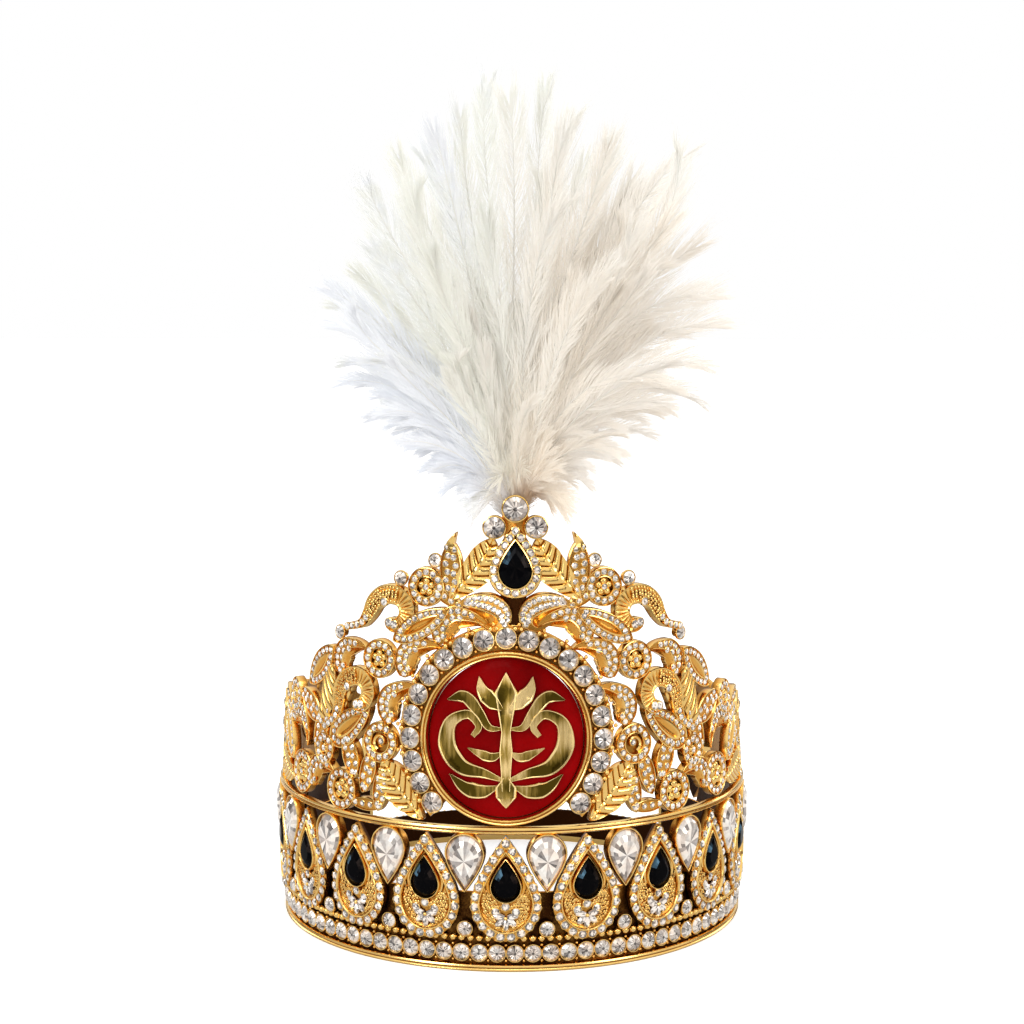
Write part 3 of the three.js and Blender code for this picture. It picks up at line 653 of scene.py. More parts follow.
def cast(piece, surface, spot, level=0.0, values=None):
    """Puts a casting at an azimuth, a height and a clockwise turn, and its mirror image on the other
    side."""
    azimuth, height, turn = spot
    for side in (1, -1):
        piece.set(sized(surface, (side, 1, 1), (0, 0, level)), side * azimuth + drift(height), height, values,
                  side * turn)


def pave(places, spot, radius=1.12, level=-0.35):
    """Small stones in collars, at places of x and y in a casting."""
    at = upright_places(places, 0)
    cast(gallery_stones, sized(small_stone, radius, at), spot, level, small_facets(len(places)))
    cast(gallery_collars, sized(small_collar, radius, at), spot, level)


def beside(path, share, half, start, stop, pitch):
    """Places about a pitch apart on a line that runs beside a path, at a share of its half width, from
    one share of its length to another."""
    line = path + outward(path) * (share * half)[:, None]
    line = line[int(start * len(path)):max(int(stop * len(path)), int(start * len(path)) + 2)]
    run = np.hypot(*np.diff(line, axis=0).T).sum()
    return evenly(line, max(1, round(run / pitch)) + 1)


def top_edge(azimuth):
    """Height of the wall's top edge on the sides and the back: it falls as a quarter of a sine."""
    fall = np.clip((azimuth - 52) / 46, 0, 1)
    return 112 - 32 * np.sin(np.pi / 2 * fall) - 0.09 * max(azimuth - 98, 0)


def round_the_side(step, level, turn):
    """Spots of a casting in the pattern that runs three times round the side and the back. Its level is
    0 at the upper ring and 1 at the top edge."""
    azimuths = 60.5 + 24.0 * np.arange(3) + step
    rises = [level * (top_edge(azimuth) - gallery_foot) for azimuth in azimuths]
    return [(azimuth, gallery_foot + rise, turn) for azimuth, rise in zip(azimuths, rises)]


crescent_section = [(1, -3.1, 0.8), (1, -0.4, 0.1), (0.96, 0.2), (0.91, 0.3), (0.87, -0.3, 0.6),
                    (-0.1, -0.4, 0.5), (-0.14, 0.15), (-0.22, 0.25), (-0.3, -0.2, 0.25), (-0.5, -1.2, 0.45),
                    (-0.75, -1.7, 0.5), (-0.91, -1.5, 0.3), (-0.94, -0.8, 0.1), (-1, -0.9, 0.1),
                    (-1, -3.1, 0.8)]
crescents = Piece()


def flowing(points, count):
    """A smooth path through points (a Catmull-Rom curve), at equal distances."""
    points = np.array(points, float)
    padded = np.vstack([2 * points[0] - points[1], points, 2 * points[-1] - points[-2]])
    before, first, second, after = (padded[k:len(points) - 1 + k] for k in range(4))
    share = np.linspace(0, 1, 16, endpoint=False)[:, None, None]
    curve = first + 0.5 * share * (second - before + share * (
        2 * before - 5 * first + 4 * second - after + share * (3 * first - 3 * second + after - before)))
    return evenly(np.vstack([curve.transpose(1, 0, 2).reshape(-1, 2), points[-1:]]), count)


def crescent(spot, scale):
    """A fat comma, open downwards: it is 9.4 mm thick low at its head, and thins to a tail. Stones cover
    its head in two rows, 1.9 and 4.4 mm from the edge."""
    points = [(3.4, -6.9), (4.7, -3.4), (4.3, 0), (2.3, 2.8), (-1.7, 4.1), (-5.8, 4.5), (-9.4, 3.7)]
    path = scale * flowing(points, 60)
    half = scale * np.interp(np.linspace(0, 1, 60), [0, 0.07, 0.2, 0.35, 0.5, 0.7, 0.92, 1],
                             [1.2, 3.4, 4.4, 4.7, 4.1, 2.9, 1.2, 0.3])
    cast(crescents, carried(path, crescent_section, half), spot)
    for inwards, start, stop in ((1.85, 0.08, 0.72), (4.4, 0.13, 0.55)):
        pave(beside(path, 1 - inwards / half, half, start, stop, 2.65), spot)


for spot, scale in (((13, 124.4, -18), 1.07), ((21.9, 113, 2), 1), ((26.9, 96.4, 16), 0.98),
                    ((41.9, 110.5, 0), 0.95), ((51.4, 64.5, -14), 0.95)):
    crescent(spot, scale)
for spot in round_the_side(2.8, 0.56, -60):
    crescent(spot, 1.05)
# The one below the finial is a closed half-moon. Each of its points is drawn in towards a trough that
# runs along the lower side.
moon = flowing([(11.1, 1.9), (6.5, 5.4), (1.1, 7.1), (-4.3, 6.8), (-9.2, 3.8), (-11.2, -0.5), (-9.8, -4.3),
                (-6.2, -7.0), (-2.4, -6.8), (3.8, -3.0), (8.7, 0.3), (11.1, 1.9)], 73)[:-1] * 0.95
trough = np.linspace((6.8, 0.9), (-3.0, -4.6), 30)
trough_point = trough[np.clip((7 - moon[:, 0]) / 12 * 29, 0, 29).astype(int)]
moon_profile = [(1, -3, 0.8), (0, -3, 0.8), (0, -0.5, 0.1), (0.04, 0.2), (0.08, 0.3), (0.11, -0.3, 0.6),
                (0.6, -0.4, 0.5), (0.62, 0.15), (0.67, 0.25), (0.73, -0.4, 0.25), (0.88, -1.2, 0.5),
                (1, -1.4, 0.5)]
moon_spot = (7.75, 130.4, 0)
cast(crescents, dished(moon, moon_profile, trough_point[:, None]), moon_spot)
for share, start, stop, count in ((0.2, 9, 42, 11), (0.48, 12, 38, 8)):
    pave(evenly((moon + (trough_point - moon) * share)[start:stop], count), moon_spot)
crescents.make("crescents", gold, "gallery")


# ---- the almond leaves ----
# An almond leaf has a border paved with small stones round a long smooth trough. One at each side is
# broader at one end. Plain paved leaves are the same casting without the trough.
def almond(length, width, count, skew=0.0):
    """An outline pointed at both ends: y is a cosine, and x a sine times the root of its own size. Skew
    moves its widest place towards one end."""
    angle = np.linspace(0, 2 * np.pi, 200, endpoint=False)
    sine = np.sin(angle)
    x = -width / 2 * sine * np.sqrt(np.abs(sine))
    y = length / 2 * (np.cos(angle) + skew * sine ** 2)
    return evenly(np.stack([x, y], -1), count, closed=True)


def spine(outline, share):
    """The place on an outline's middle line that each of its points is drawn in towards."""
    return (outline * (0, share))[:, None]


window_profile = [(1, -3, 0.8), (0, -3, 0.8), (0, -0.5, 0.1), (0.05, 0.15), (0.1, 0.2), (0.14, -0.4, 0.6),
                  (0.57, -0.45, 0.5), (0.6, 0.1), (0.69, 0.2), (0.77, -0.35, 0.35), (0.9, -0.8, 0.4),
                  (1, -0.95, 0.45)]
paved_profile = [(1, -3, 0.8), (0, -3, 0.8), (0, -0.5, 0.1), (0.07, 0.15), (0.15, 0.2), (0.2, -0.4, 0.6),
                 (1, -0.25, 0.45)]
almonds = Piece()


def window_leaf(spot, length, width, count, skew=0.0, level=-0.15):
    """An almond leaf with its trough, and its stones a third of the way in from the edge."""
    outline = almond(length, width, 56, skew)
    middle = spine(outline, 0.4)
    cast(almonds, dished(outline, window_profile, middle), spot, level)
    inner = outline + (middle[:, 0] - outline) * 0.35
    pave(evenly(inner, count, closed=True), spot, level=level - 0.35)


def paved_leaf(spot, length, width, rows=2, level=-0.25):
    """A leaf without a trough: one row of stones, or two that draw together at the ends."""
    outline = almond(length, width, 40)
    cast(almonds, dished(outline, paved_profile, spine(outline, 0.7)), spot, level)
    y = np.linspace(-0.36, 0.36, max(2, round(0.72 * length / 2.6))) * length
    zigzag = np.where(np.arange(len(y)) % 2, 1, 0.6) * (rows - 1)
    spread = 0.22 * width * np.sqrt(1 - (2 * y / length) ** 2) * zigzag
    for side in (1, -1)[:rows]:
        pave(np.column_stack([side * spread, y + side * 0.3 * (rows - 1)]), spot, level=level - 0.3)


window_leaf((53.4, 104.6, -44), 23, 11, 15)
window_leaf((41.2, 85.2, 127), 26, 12.6, 17, 0.25)
window_leaf((22.6, 124.8, 120), 25.5, 9.6, 17, 0.1, level=0.75)
for spot in round_the_side(12.6, 0.56, 42):
    window_leaf(spot, 26, 12, 17)
for spot, length, width, rows in (((34.8, 70, 165), 18, 7.5, 2), ((40.6, 74, 20), 17, 8.5, 2),
                                  ((31, 64, -6), 17, 7, 2), ((52, 82, 160), 20, 9, 2),
                                  ((57.6, 88.6, 62), 20, 9.5, 2), ((16.5, 134.8, 60), 13, 4.6, 1),
                                  ((35, 57.5, 90), 15, 5, 1)):
    paved_leaf(spot, length, width, rows)
for spot in round_the_side(20, 0.5, -38) + round_the_side(15.4, 0.88, 64):
    paved_leaf(spot, 23, 10)
# The bud beside the finial: a paved leaf with a plain hooked tip.
bud_spot = (15.8, 145.5, 0)
paved_leaf(bud_spot, 20, 8.6, level=-0.1)
hook_section = [(1, -2.6, 0.7), (0.9, -0.2), (0, 0.45), (-0.9, -0.2), (-1, -2.6, 0.7)]
hook = evenly(np.array([(0.3, 6.5), (0.2, 9.0), (-0.9, 11.2), (-1.9, 12.9)]), 12)
cast(almonds, carried(hook, hook_section, np.linspace(2.4, 0.25, 12)), bud_spot)
almonds.make("almond_leaves", gold, "gallery")

# ---- the roundels ----
# Round castings with a ring of small stones. A flower of five petals round one stone fills the
# middle of most of them, and a plain curl the others. Single stones in collars stand along the edge.
roundels = Piece()
roundel_steps = [(0, -3, 0.8), (0, -0.4, 0.1), (0.2, 0.2), (0.45, 0.25), (0.7, -0.35, 0.6), (3.15, -0.4, 0.5),
                 (3.3, 0.15), (3.6, 0.2), (3.9, -0.6, 0.3), (4.0, -1.6, 0.7)]   # way in from the edge, height
curl_section = [(1, -2, 0.8), (0.8, -0.3), (0, 0.15), (-0.8, -0.3), (-1, -2, 0.8)]


def roundel(spot, radius, count, curl=False):
    """A dish with a raised edge, a paved ring and a sunken middle."""
    edge = [(radius - inwards, *rest) for inwards, *rest in roundel_steps]
    cast(roundels, lathe([(0, -3, 0.8), *edge, (0, -1.6, 0.7)], 40), spot, 0.1)
    angle = 2 * np.pi * np.arange(count) / count
    pave((radius - 1.93) * np.stack([np.sin(angle), np.cos(angle)], -1), spot, 1.15, -0.2)
    middle = radius - 4.0
    if curl:
        turn = np.linspace(0.4, 5.2, 26)
        path = (middle * (0.92 - 0.09 * turn))[:, None] * np.stack([np.sin(turn), -np.cos(turn)], -1)
        cast(roundels, carried(path, curl_section, np.linspace(0.9, 0.35, 26)), spot)
        pave([(-0.1 * middle, 0.12 * middle)], spot, 1.2, -0.6)
        return
    # Five domed petals and a stone fill the sunken floor.
    turn = 2 * np.pi * np.arange(5) / 5
    petals = upright_places(0.64 * middle * np.stack([np.sin(turn), np.cos(turn)], -1), -0.6)
    cast(roundels, sized(bead, (0.4 * middle, 0.4 * middle, 0.8), petals), spot, 0.1, 0.05)
    pave([(0, 0)], spot, 1.1, 0.0)


roundel((22, 138.6, 0), 7.2, 12)
roundel((32.4, 111.2, 0), 7.2, 12)
roundel((31.4, 81, 0), 7.5, 12, curl=True)
roundel((43.2, 61.2, 0), 7.8, 13)
roundel((50.2, 74.4, 0), 6.0, 9)
for number, spot in enumerate(round_the_side(0, 0.18, 0)):
    roundel(spot, 8.3, 14, number == 1)
for spot in round_the_side(7, 0.86, 0):
    roundel(spot, 6.6, 10)
edge_stones = Piece("facet_reflection")
for azimuth, height, radius in ((19.8, 148.2, 2.35), (29, 141, 2.5), (46.6, 118.6, 2.4), (11.4, 133.4, 1.6)):
    spot = (azimuth, height, 0)
    cast(edge_stones, sized(brilliant, radius), spot, -0.6, brilliant_facets(1))
    cast(roundels, sized(collar, radius), spot, -0.6)
    cast(roundels, sized(post, (radius, radius, 0.7)), spot, -0.6, 0.6)
roundels.make("roundels", gold, "gallery")
edge_stones.make("edge_brilliants", crystal, "gallery")


# ---- the shell curls ----
# A shell curl is one cast strip: it starts at two small stones, turns over in a hook with ribs
# across it, and runs out in a granulated tail with stones along its outer side.
def relief(path, half, shares, heights, recess_shade, depth=-3.0, sweep=0.0):
    """A strip with a height of its own for each of its points: rows along the path, shares of the half
    width across it, a flat back, and ends that close on their middle. A sweep moves points on along
    the path's own way."""
    shares = np.concatenate([shares[:1], shares, shares[-1:]])
    heights = np.pad(heights, ((0, 0), (1, 1)), constant_values=depth)
    recess_shade = np.pad(recess_shade, ((0, 0), (1, 1)), constant_values=0.8)
    sideways = outward(path)
    forward = sideways[:, ::-1] * (-1, 1)
    sweep = np.pad(np.broadcast_to(sweep, (len(path), len(shares) - 2)), ((0, 0), (1, 1)), mode="edge")
    flat = path[:, None] + sideways[:, None] * (half[:, None] * shares)[..., None]
    flat = flat + forward[:, None] * sweep[..., None]
    rows = with_ends(np.concatenate([flat, heights[..., None]], -1))
    recess_shade = np.concatenate([recess_shade[:1], recess_shade, recess_shade[-1:]])
    return rows.reshape(-1, 3), quads(len(rows), len(shares), False, True), recess_shade.ravel()


shells = Piece()
shell_shares = np.array([1, 0.92, 0.8, 0.7, 0.45, 0.15, -0.15, -0.45, -0.7, -0.8, -0.92, -1])
shell_rim = np.array([-0.5, 0.3, 0.3, -0.1, 0, 0, 0, 0, -0.1, 0.3, 0.3, -0.5])
shell_floor = 1 - np.clip(np.abs(shell_shares) / 0.78, 0, 1) ** 2
hook_points = [(3.6, -4.4), (-1.2, -5.5), (-5.0, -2.6), (-5.5, 1.6), (-3.4, 4.9), (0.8, 6.3), (5.4, 5.6)]
tail_points = [(9.4, 2.7), (12.2, -2.2), (15.4, -6.0), (19.8, -7.6), (24.4, -8.6)]


def shell(spot, scale, tail=True):
    """The hook has ribs every 1.55 mm of its way, with painted shade in the grooves between them, and
    granules cover the rest of the strip.
    """
    points = hook_points + (tail_points if tail else [])
    count = 150 if tail else 90
    path = scale * flowing(points, count)
    way = np.linspace(0, 1, count)
    run = way * np.hypot(*np.diff(path, axis=0).T).sum() / scale
    half = scale * np.interp(run, [0, 1, 3, 5, 13, 22, 29, 35, 40, 45, 51, 54],
                             [1.2, 2.2, 2.9, 3.2, 3.6, 4.0, 4.0, 3.6, 2.7, 1.7, 1.5, 0.8])
    half = half if tail else half * np.interp(way, [0.75, 1], [1, 0.4])
    ribbed = np.interp(run, [3.4, 4.6, 19, 21.5], [0, 1, 1, 0])[:, None]
    ribs = np.abs(np.cos(np.pi * run / 1.55))[:, None] ** 0.7 * ribbed
    heights = shell_rim + shell_floor * (0.75 * ribs - 0.9)
    recess_shade = np.clip(shell_floor * (0.9 - 0.85 * ribs), 0, 1)
    cast(shells, relief(path, half, shell_shares, heights, recess_shade), spot, 0.2)
    start, stop = 21.5 / run[-1], 0.76 if tail else 0.96
    shares = (0.64, 0.32, 0, -0.32, -0.64)
    places = np.vstack([beside(path, share, half, start, stop, 1.45) for share in shares])
    places += random.uniform(-0.25, 0.25, places.shape)
    sizes = random.uniform(0.55, 0.95, len(places))[:, None, None]
    cast(shells, sized(granule, sizes, upright_places(places, -0.45)), spot, 0.2, 0.1)
    pave(beside(path, 0.1, half, 1.5 / run[-1], 4.5 / run[-1], 2.9), spot, 1.5, 0.15)
    pave([(4.6 * scale, 3.2 * scale)], spot, 1.45, 0.25)
    if tail:
        pave(beside(path, -0.05, half, stop, 0.98, 2.7), spot, 1.2, 0.1)


shell((30.3, 129.1, 0), 0.93)
shell((38.7, 98.2, 22), 0.93)
for spot in round_the_side(22.4, 0.82, 8):
    shell(spot, 0.9, tail=False)
shells.make("shell_curls", gold, "gallery")


# ---- the veined and the twisted leaves ----
# Leaves without stones: pairs of plain leaves with a midrib and slanting veins stand beside the
# finial and at the foot of the halo, and a twisted one with deep slanting ribs on each side.
veined = Piece()
vein_shares = np.array([1, 0.96, 0.9, 0.75, 0.6, 0.45, 0.3, 0.18, 0.08, 0])
vein_shares = np.concatenate([vein_shares, -vein_shares[-2::-1]])


def leaf_strip(points, width, pitch, cut):
    """A leaf along a path: its half width is a sine of the way to the 0.85th power, a little fuller low.
    Eight rows of points run along each of its veins."""
    length = np.hypot(*np.diff(flowing(points, 60), axis=0).T).sum()
    rows = int(8 * length / pitch)
    path = flowing(points, rows)
    way = np.linspace(0, 1, rows)
    half = np.maximum(width / 2 * np.sin(np.pi * way ** 0.85) ** 0.8, 0.3)
    turn, across = np.arange(rows)[:, None] / 8, vein_shares * half[:, None]
    heights, recess_shade, sweep = cut(turn, across, np.abs(vein_shares)[None])
    return relief(path, half, vein_shares, heights, recess_shade, sweep=sweep)


def veins(turn, across, share):
    """A midrib, and a rounded lobe each turn with narrow grooves between that curve up towards the edge.
    The grooves carry painted shade.
    """
    lobe = np.abs(np.sin(np.pi * turn)) ** 0.5
    rib = np.exp(-(share / 0.09) ** 2)
    edge = (share > 0.93) * 1.0
    height = -1.2 + 0.45 * share ** 2 + 0.85 * lobe * (1 - rib) + 1.2 * rib + 0.15 * edge
    return height, np.clip(1.1 - 1.5 * lobe - rib - edge, 0, 1), 0.62 * np.abs(across) ** 1.2


def twists(turn, across, share):
    """Deep rounded ribs, one each turn, that slant right across a domed leaf, with painted shade between
    them.
    """
    rib = np.abs(np.sin(np.pi * turn)) ** 0.6 + 0 * across
    return 0.35 - 0.8 * share ** 2 + 0.75 * (rib - 1), np.clip(1.0 - 1.4 * rib, 0, 1), 0.75 * across


finial_leaf = leaf_strip([(3.2, -13.6), (1.6, -7), (0.2, 0), (-0.2, 7), (0.6, 13.6)], 11.6, 4.0, veins)
foot_leaf = leaf_strip([(-1.8, -13), (-0.6, -6), (0, 0), (0, 6), (-0.6, 13)], 11.8, 3.7, veins)
broad_twist = leaf_strip([(0.8, -11), (0, -4), (-0.2, 4), (0.6, 11)], 9.6, 3.4, twists)
narrow_twist = leaf_strip([(1.6, -11.4), (-0.6, -4), (-0.6, 4), (1.2, 11.4)], 7.6, 3.4, twists)
side_leaf = leaf_strip([(-0.6, -13), (0, -6), (0, 6), (0.6, 13)], 11, 3.0, veins)
cast(veined, finial_leaf, (9.6, 144.5, -30), 0.3)
cast(veined, foot_leaf, (25.4, 64, 38), 0.25)
cast(veined, broad_twist, (49.8, 96, -20), 0.2)
cast(veined, narrow_twist, (44.6, 93, 152), -0.4)
for spot in round_the_side(12.2, 0.18, 80):
    cast(veined, side_leaf, spot, 0.2)
veined.make("veined_leaves", gold, "gallery")
gallery_stones.make("gallery_stones", crystal, "gallery")
gallery_collars.make("gallery_collars", gold, "gallery")

# ---- the halo round the medallion ----
# Twenty-one foil-backed brilliants in thin collars stand on a curved plate round the upper three
# quarters of the medallion, with threes of gold grains soldered between them on the outer side.
medal_height, halo_radius = 85.4, 35.9


def ring_path(radius, start, stop, count, closed=False):
    """Points of a circle about the medallion's middle, counterclockwise; angles are from the top."""
    angle = np.radians(np.linspace(start, stop, count, endpoint=not closed))
    return radius * np.stack([-np.sin(angle), np.cos(angle)], -1)


halo = Piece()
plate_section = [(1, -3.2, 0.8), (1, -1.4, 0.2), (0.92, -1.1, 0.3), (0.5, -1.1, 1), (-0.92, -1.1, 0.9),
                 (-1, -1.4, 0.4), (-1, -3.2, 0.8)]
halo.set(carried(ring_path(35.8, -137, 137, 96), plate_section, 4.6), 0, medal_height)
halo_count, halo_stone_radius = 21, 3.72
seats = upright_places(ring_path(halo_radius, -132, 132, halo_count), -0.65)
halo_collar = lathe([(0.94, -0.3, 1), (1.09, -0.28, 0.4), (1.1, 0.05, 0.1), (1.055, 0.15), (1.0, 0.15),
                     (0.96, 0.05, 1)], 28, ring=True)
halo.set(sized(halo_collar, halo_stone_radius, seats), 0, medal_height)
for spread, beyond, size, recess_shade in ((-1.2, 3.5, 1.05, 0.05), (1.1, 3.5, 0.9, 0.05), (0.1, 5.1, 0.8, 0.05),
                                     (0, -3.1, 0.6, 0.3)):
    between = ring_path(halo_radius + beyond, -125.4, 125.4, halo_count - 1)
    way = between[:, ::-1] * (1, -1) / (halo_radius + beyond)
    halo.set(sized(bead, size, upright_places(between + way * spread, -0.5)), 0, medal_height, recess_shade)
# A plain strap behind the wall joins the halo's plate to the finial. It carries a recess shade of 1,
# so it is painted near black-brown: a dark sheet of painted shade in the gap below the finial.
strap_section = [(-1, -3.3, 1), (-1, -2.4, 1), (1, -2.4, 1), (1, -3.3, 1)]
halo.set(carried(np.linspace((0.0, 121.0), (3.4, 139.0), 6), strap_section, 5.0))
halo.make("halo_setting", gold, "gallery")
halo_brilliants = Piece("facet_reflection")
halo_facets = brilliant_facets(halo_count) * 0.8
halo_brilliants.set(sized(brilliant, halo_stone_radius, seats), 0, medal_height, halo_facets)
halo_brilliants.make("halo_brilliants", crystal, "halo_stones")

# ---- the medallion ----
# A disc of glossy red enamel in a polished rim with two ridges. The ornament on it is a plain
# arabesque of cut sheet gold: a stem with buds, leaves and two curling branches.
rim = Piece()
rim_section = [(1, -4.6, 0.8), (1, 0.1, 0.1), (0.86, 0.75), (0.6, 1.05), (0.3, 0.9), (0.08, 0.35, 0.7),
               (-0.08, 0.35, 0.7), (-0.3, 0.85), (-0.6, 0.95), (-0.86, 0.5), (-1, -0.4, 0.3), (-1, -4.6, 0.8)]
rim.set(carried(ring_path(30.1, 0, 360, 120, closed=True), rim_section, 1.2, closed=True), 0, medal_height)
rim.make("medallion_rim_ridges", gold, "medallion_rim", crease=50)

enamel = Paint("red_enamel", "red_enamel")
place = enamel.place()
clouds = enamel.noise(place, 38, 3.0, 0.5)
pits = enamel.noise(place, 900, 2.0)
colour = enamel.ramp(clouds + (pits - 0.5) * 0.12, (0.3, (0.10, 0.0003, 0.0006)),
                     (0.5, (0.18, 0.0006, 0.001)), (0.72, (0.27, 0.0012, 0.002)))
enamel.finish(enamel.node("BsdfPrincipled", Base_Color=colour, Roughness=pits * 0.14 + 0.2, IOR=1.05,
                          Coat_Weight=0.03, Coat_Roughness=0.1, Normal=enamel.bump(clouds, 0.12, 0.0006)))
disc = Piece()
disc_profile = [(1, -3.8), (0, -3.8), (0, -1.75), (0.02, -1.6), (0.12, -1.62), (0.28, -1.66), (0.46, -1.7),
                (0.64, -1.72), (0.82, -1.74), (1, -1.75)]
disc.set(dished(ring_path(28.6, 0, 360, 96, closed=True), disc_profile), 0, medal_height)
disc.make("enamel_disc", enamel, "medallion_disc", crease=50)

# Cut sheet gold over an upright brushed grain. The recess shade picks the colour: the raised rims of the
# strokes are an even bright gold, a painted highlight along their edges, and the sunken faces go in cloudy
# patches from near black to pale gold, a painted reflection on the flat sheet.
sheet_gold = Paint("cut_sheet_gold", "gold")
place = sheet_gold.place()
reflection_patches = sheet_gold.noise(place, 62, 1.0)
upright_grain = sheet_gold.node("VectorMath", settings={"operation": "MULTIPLY"}, i0=place, i1=(900, 900, 90))
brushed = sheet_gold.noise(upright_grain, 1.0, 3.0)
face_colour = sheet_gold.ramp(reflection_patches + (brushed - 0.5) * 0.25, (0.42, (0.075, 0.05, 0.006)),
                              (0.5, (0.30, 0.2, 0.045)), (0.6, (0.72, 0.53, 0.24)))
colour = sheet_gold.blend(sheet_gold.attribute("recess_shade"), (0.95, 0.72, 0.33, 1), face_colour)
sheet_gold.finish(sheet_gold.node("BsdfPrincipled", Base_Color=colour, Metallic=1.0,
                                  Roughness=reflection_patches * 0.25 + brushed * 0.12 + 0.06))
scroll = Piece()
scroll_shares = np.array([1, 0.93, 0.8, 0.72, 0, -0.72, -0.8, -0.93, -1])
scroll_front = np.array([-0.7, -0.42, -0.42, -0.56, -0.56, -0.56, -0.42, -0.42, -0.7])
scroll_face_reflection = np.array([0.1, 0, 0, 1, 1, 1, 0, 0, 0.1])


def stroke(points, halves, hands=(1, -1)):
    """A stroke of cut sheet along a smooth path, with its half width at even steps along it."""
    path = flowing(points, 60)
    half = np.interp(np.linspace(0, 1, 60), np.linspace(0, 1, len(halves)), halves)
    heights, recess_shade = (np.tile(row, (60, 1)) for row in (scroll_front, scroll_face_reflection))
    surface = relief(path, half, scroll_shares, heights, recess_shade, depth=-1.3)
    for hand in hands:
        scroll.set(sized(surface, (hand, 1, 1)), 0, medal_height)


stroke([(0, -19), (0, -7), (0, 9), (0, 23.5)], [1.5, 1.9, 2.5, 1.7, 3.0, 4.2, 0.15], hands=(1,))
stroke([(0, -14), (0, -18), (0, -25)], [0.7, 3.9, 3.6, 0.15], hands=(1,))
stroke([(1.4, 10.5), (5.2, 13.2), (8.6, 17.2), (9.8, 22)], [0.6, 2.6, 3.0, 1.8, 0.12])
stroke([(1.2, -15), (8, -12.6), (16.2, -10.4), (21.4, -3.4), (20.4, 5.0), (14.0, 8.4), (9.8, 4.4), (12, 0.6)],
       [0.6, 1.7, 2.6, 3.3, 3.4, 2.6, 1.8, 1.5, 0.9])
stroke([(1.6, 3.4), (6.2, 4.0), (9.8, 9.2), (15, 14.6), (21.6, 13.4)], [0.5, 1.4, 1.8, 2.4, 2.2, 0.12])
stroke([(3.0, -17.4), (8.8, -19.2), (14.6, -18), (20.4, -13.2)], [0.5, 2.4, 2.9, 1.8, 0.12])
stroke([(1.4, -5.2), (5.4, -6.8), (10.2, -5.2), (13.8, -3.6)], [0.4, 1.6, 1.9, 1.1, 0.15])
scroll.make("arabesque", sheet_gold, "medallion_scroll", crease=30)

# ---- the finial ----
# A pear plate paved round a black pear rises above the medallion, and three large brilliants in thick
# cups stand on its tip. A plain tube is soldered behind it for the plume.
finial_azimuth = drift(150)
finial = Piece()
finial_jet, finial_stones, finial_pave = (Piece("facet_reflection") for _ in range(3))
finial_plate = [(1, -3.9, 0.8), (0, -3.9, 0.8), (0, -0.1, 0.1), (0.04, 0.55), (0.1, 0.6), (0.14, 0.0, 1),
                (0.45, 0.0, 1), (1, 0.0, 0.8)]
finial_bezel = [(-1, -0.2, 1), (-0.5, 0.95, 0.4), (0, 1.35), (0.45, 1.2), (1, 0, 0.6)]
finial.set(dished(pear_loop(20.6, 26.6, 64, bottom=135.2), finial_plate, (0, 147.2)), finial_azimuth)
finial.set(carried(pear_loop(12.4, 17.2, 60, bottom=139.0), finial_bezel, 0.8, closed=True), finial_azimuth)
paved = upright_places(pear_loop(16.4, 22.0, 18, bottom=137.4), 0.25)
finial.set(sized(small_collar, 1.45, paved), finial_azimuth)
finial_pave.set(sized(small_stone, 1.45, paved), finial_azimuth, 0, small_facets(len(paved)))
finial_pear = sized(cut_pear(11.6, 16.2, 3.1, 0.46, 0.78), 1, (0, 147.6, 0.5))
finial_jet.set(finial_pear, finial_azimuth, 0, pear_glints(1))
cup = lathe([(0, -4, 0.8), (1.06, -4, 0.8), (1.13, -1.0, 0.5), (1.17, 0.1, 0.1), (1.13, 0.62), (1.05, 0.72),
             (0.98, 0.45, 0.4), (0.97, 0.0, 1), (0, 0.0, 1)], 40)
for azimuth, height, radius in ((0, 167.2, 4.25), (5.1, 160.6, 3.7), (-5.1, 160.6, 3.7)):
    azimuth += finial_azimuth
    finial.set(sized(cup, (radius, radius, 1)), azimuth, height)
    finial_stones.set(sized(brilliant, radius, (0, 0, 0.35)), azimuth, height, brilliant_facets(1) * 0.86)
bridge = lathe([(0, -4), (5.6, -4), (5.6, -1.7), (5.2, -1.45), (0, -1.4)], 24)
finial.set(sized(bridge, (0.9, 1.3, 1)), finial_azimuth, 162.2, 0.6)
finial.make("finial_plate_and_cups", gold, "gallery")
finial_jet.make("finial_black_pear", jet, "finial_pear")
finial_pave.make("finial_small_stones", crystal, "gallery")
finial_stones.make("finial_brilliants", crystal, "finial_stone_top", "finial_stone_left",
                   "finial_stone_right")
tube = Piece()
tube_way = np.radians(finial_azimuth)
tube_place = 74.2 * np.array([np.sin(tube_way), -np.cos(tube_way), 0])
# The inside and the floor of the tube carry a recess shade of 0.6 to 1: painted shade inside it.
tube_profile = [(0, 146.1, 1), (4.1, 146.1, 0.3), (4.1, 167.6), (4.25, 168.2), (4.1, 168.9), (3.7, 168.9),
                (3.35, 168, 0.6), (3.35, 148.4, 1), (0, 148.4, 1)]
tube.add(*sized(lathe(tube_profile, 36), 1, tube_place))
tube.make("plume_tube", gold, "plume_socket")

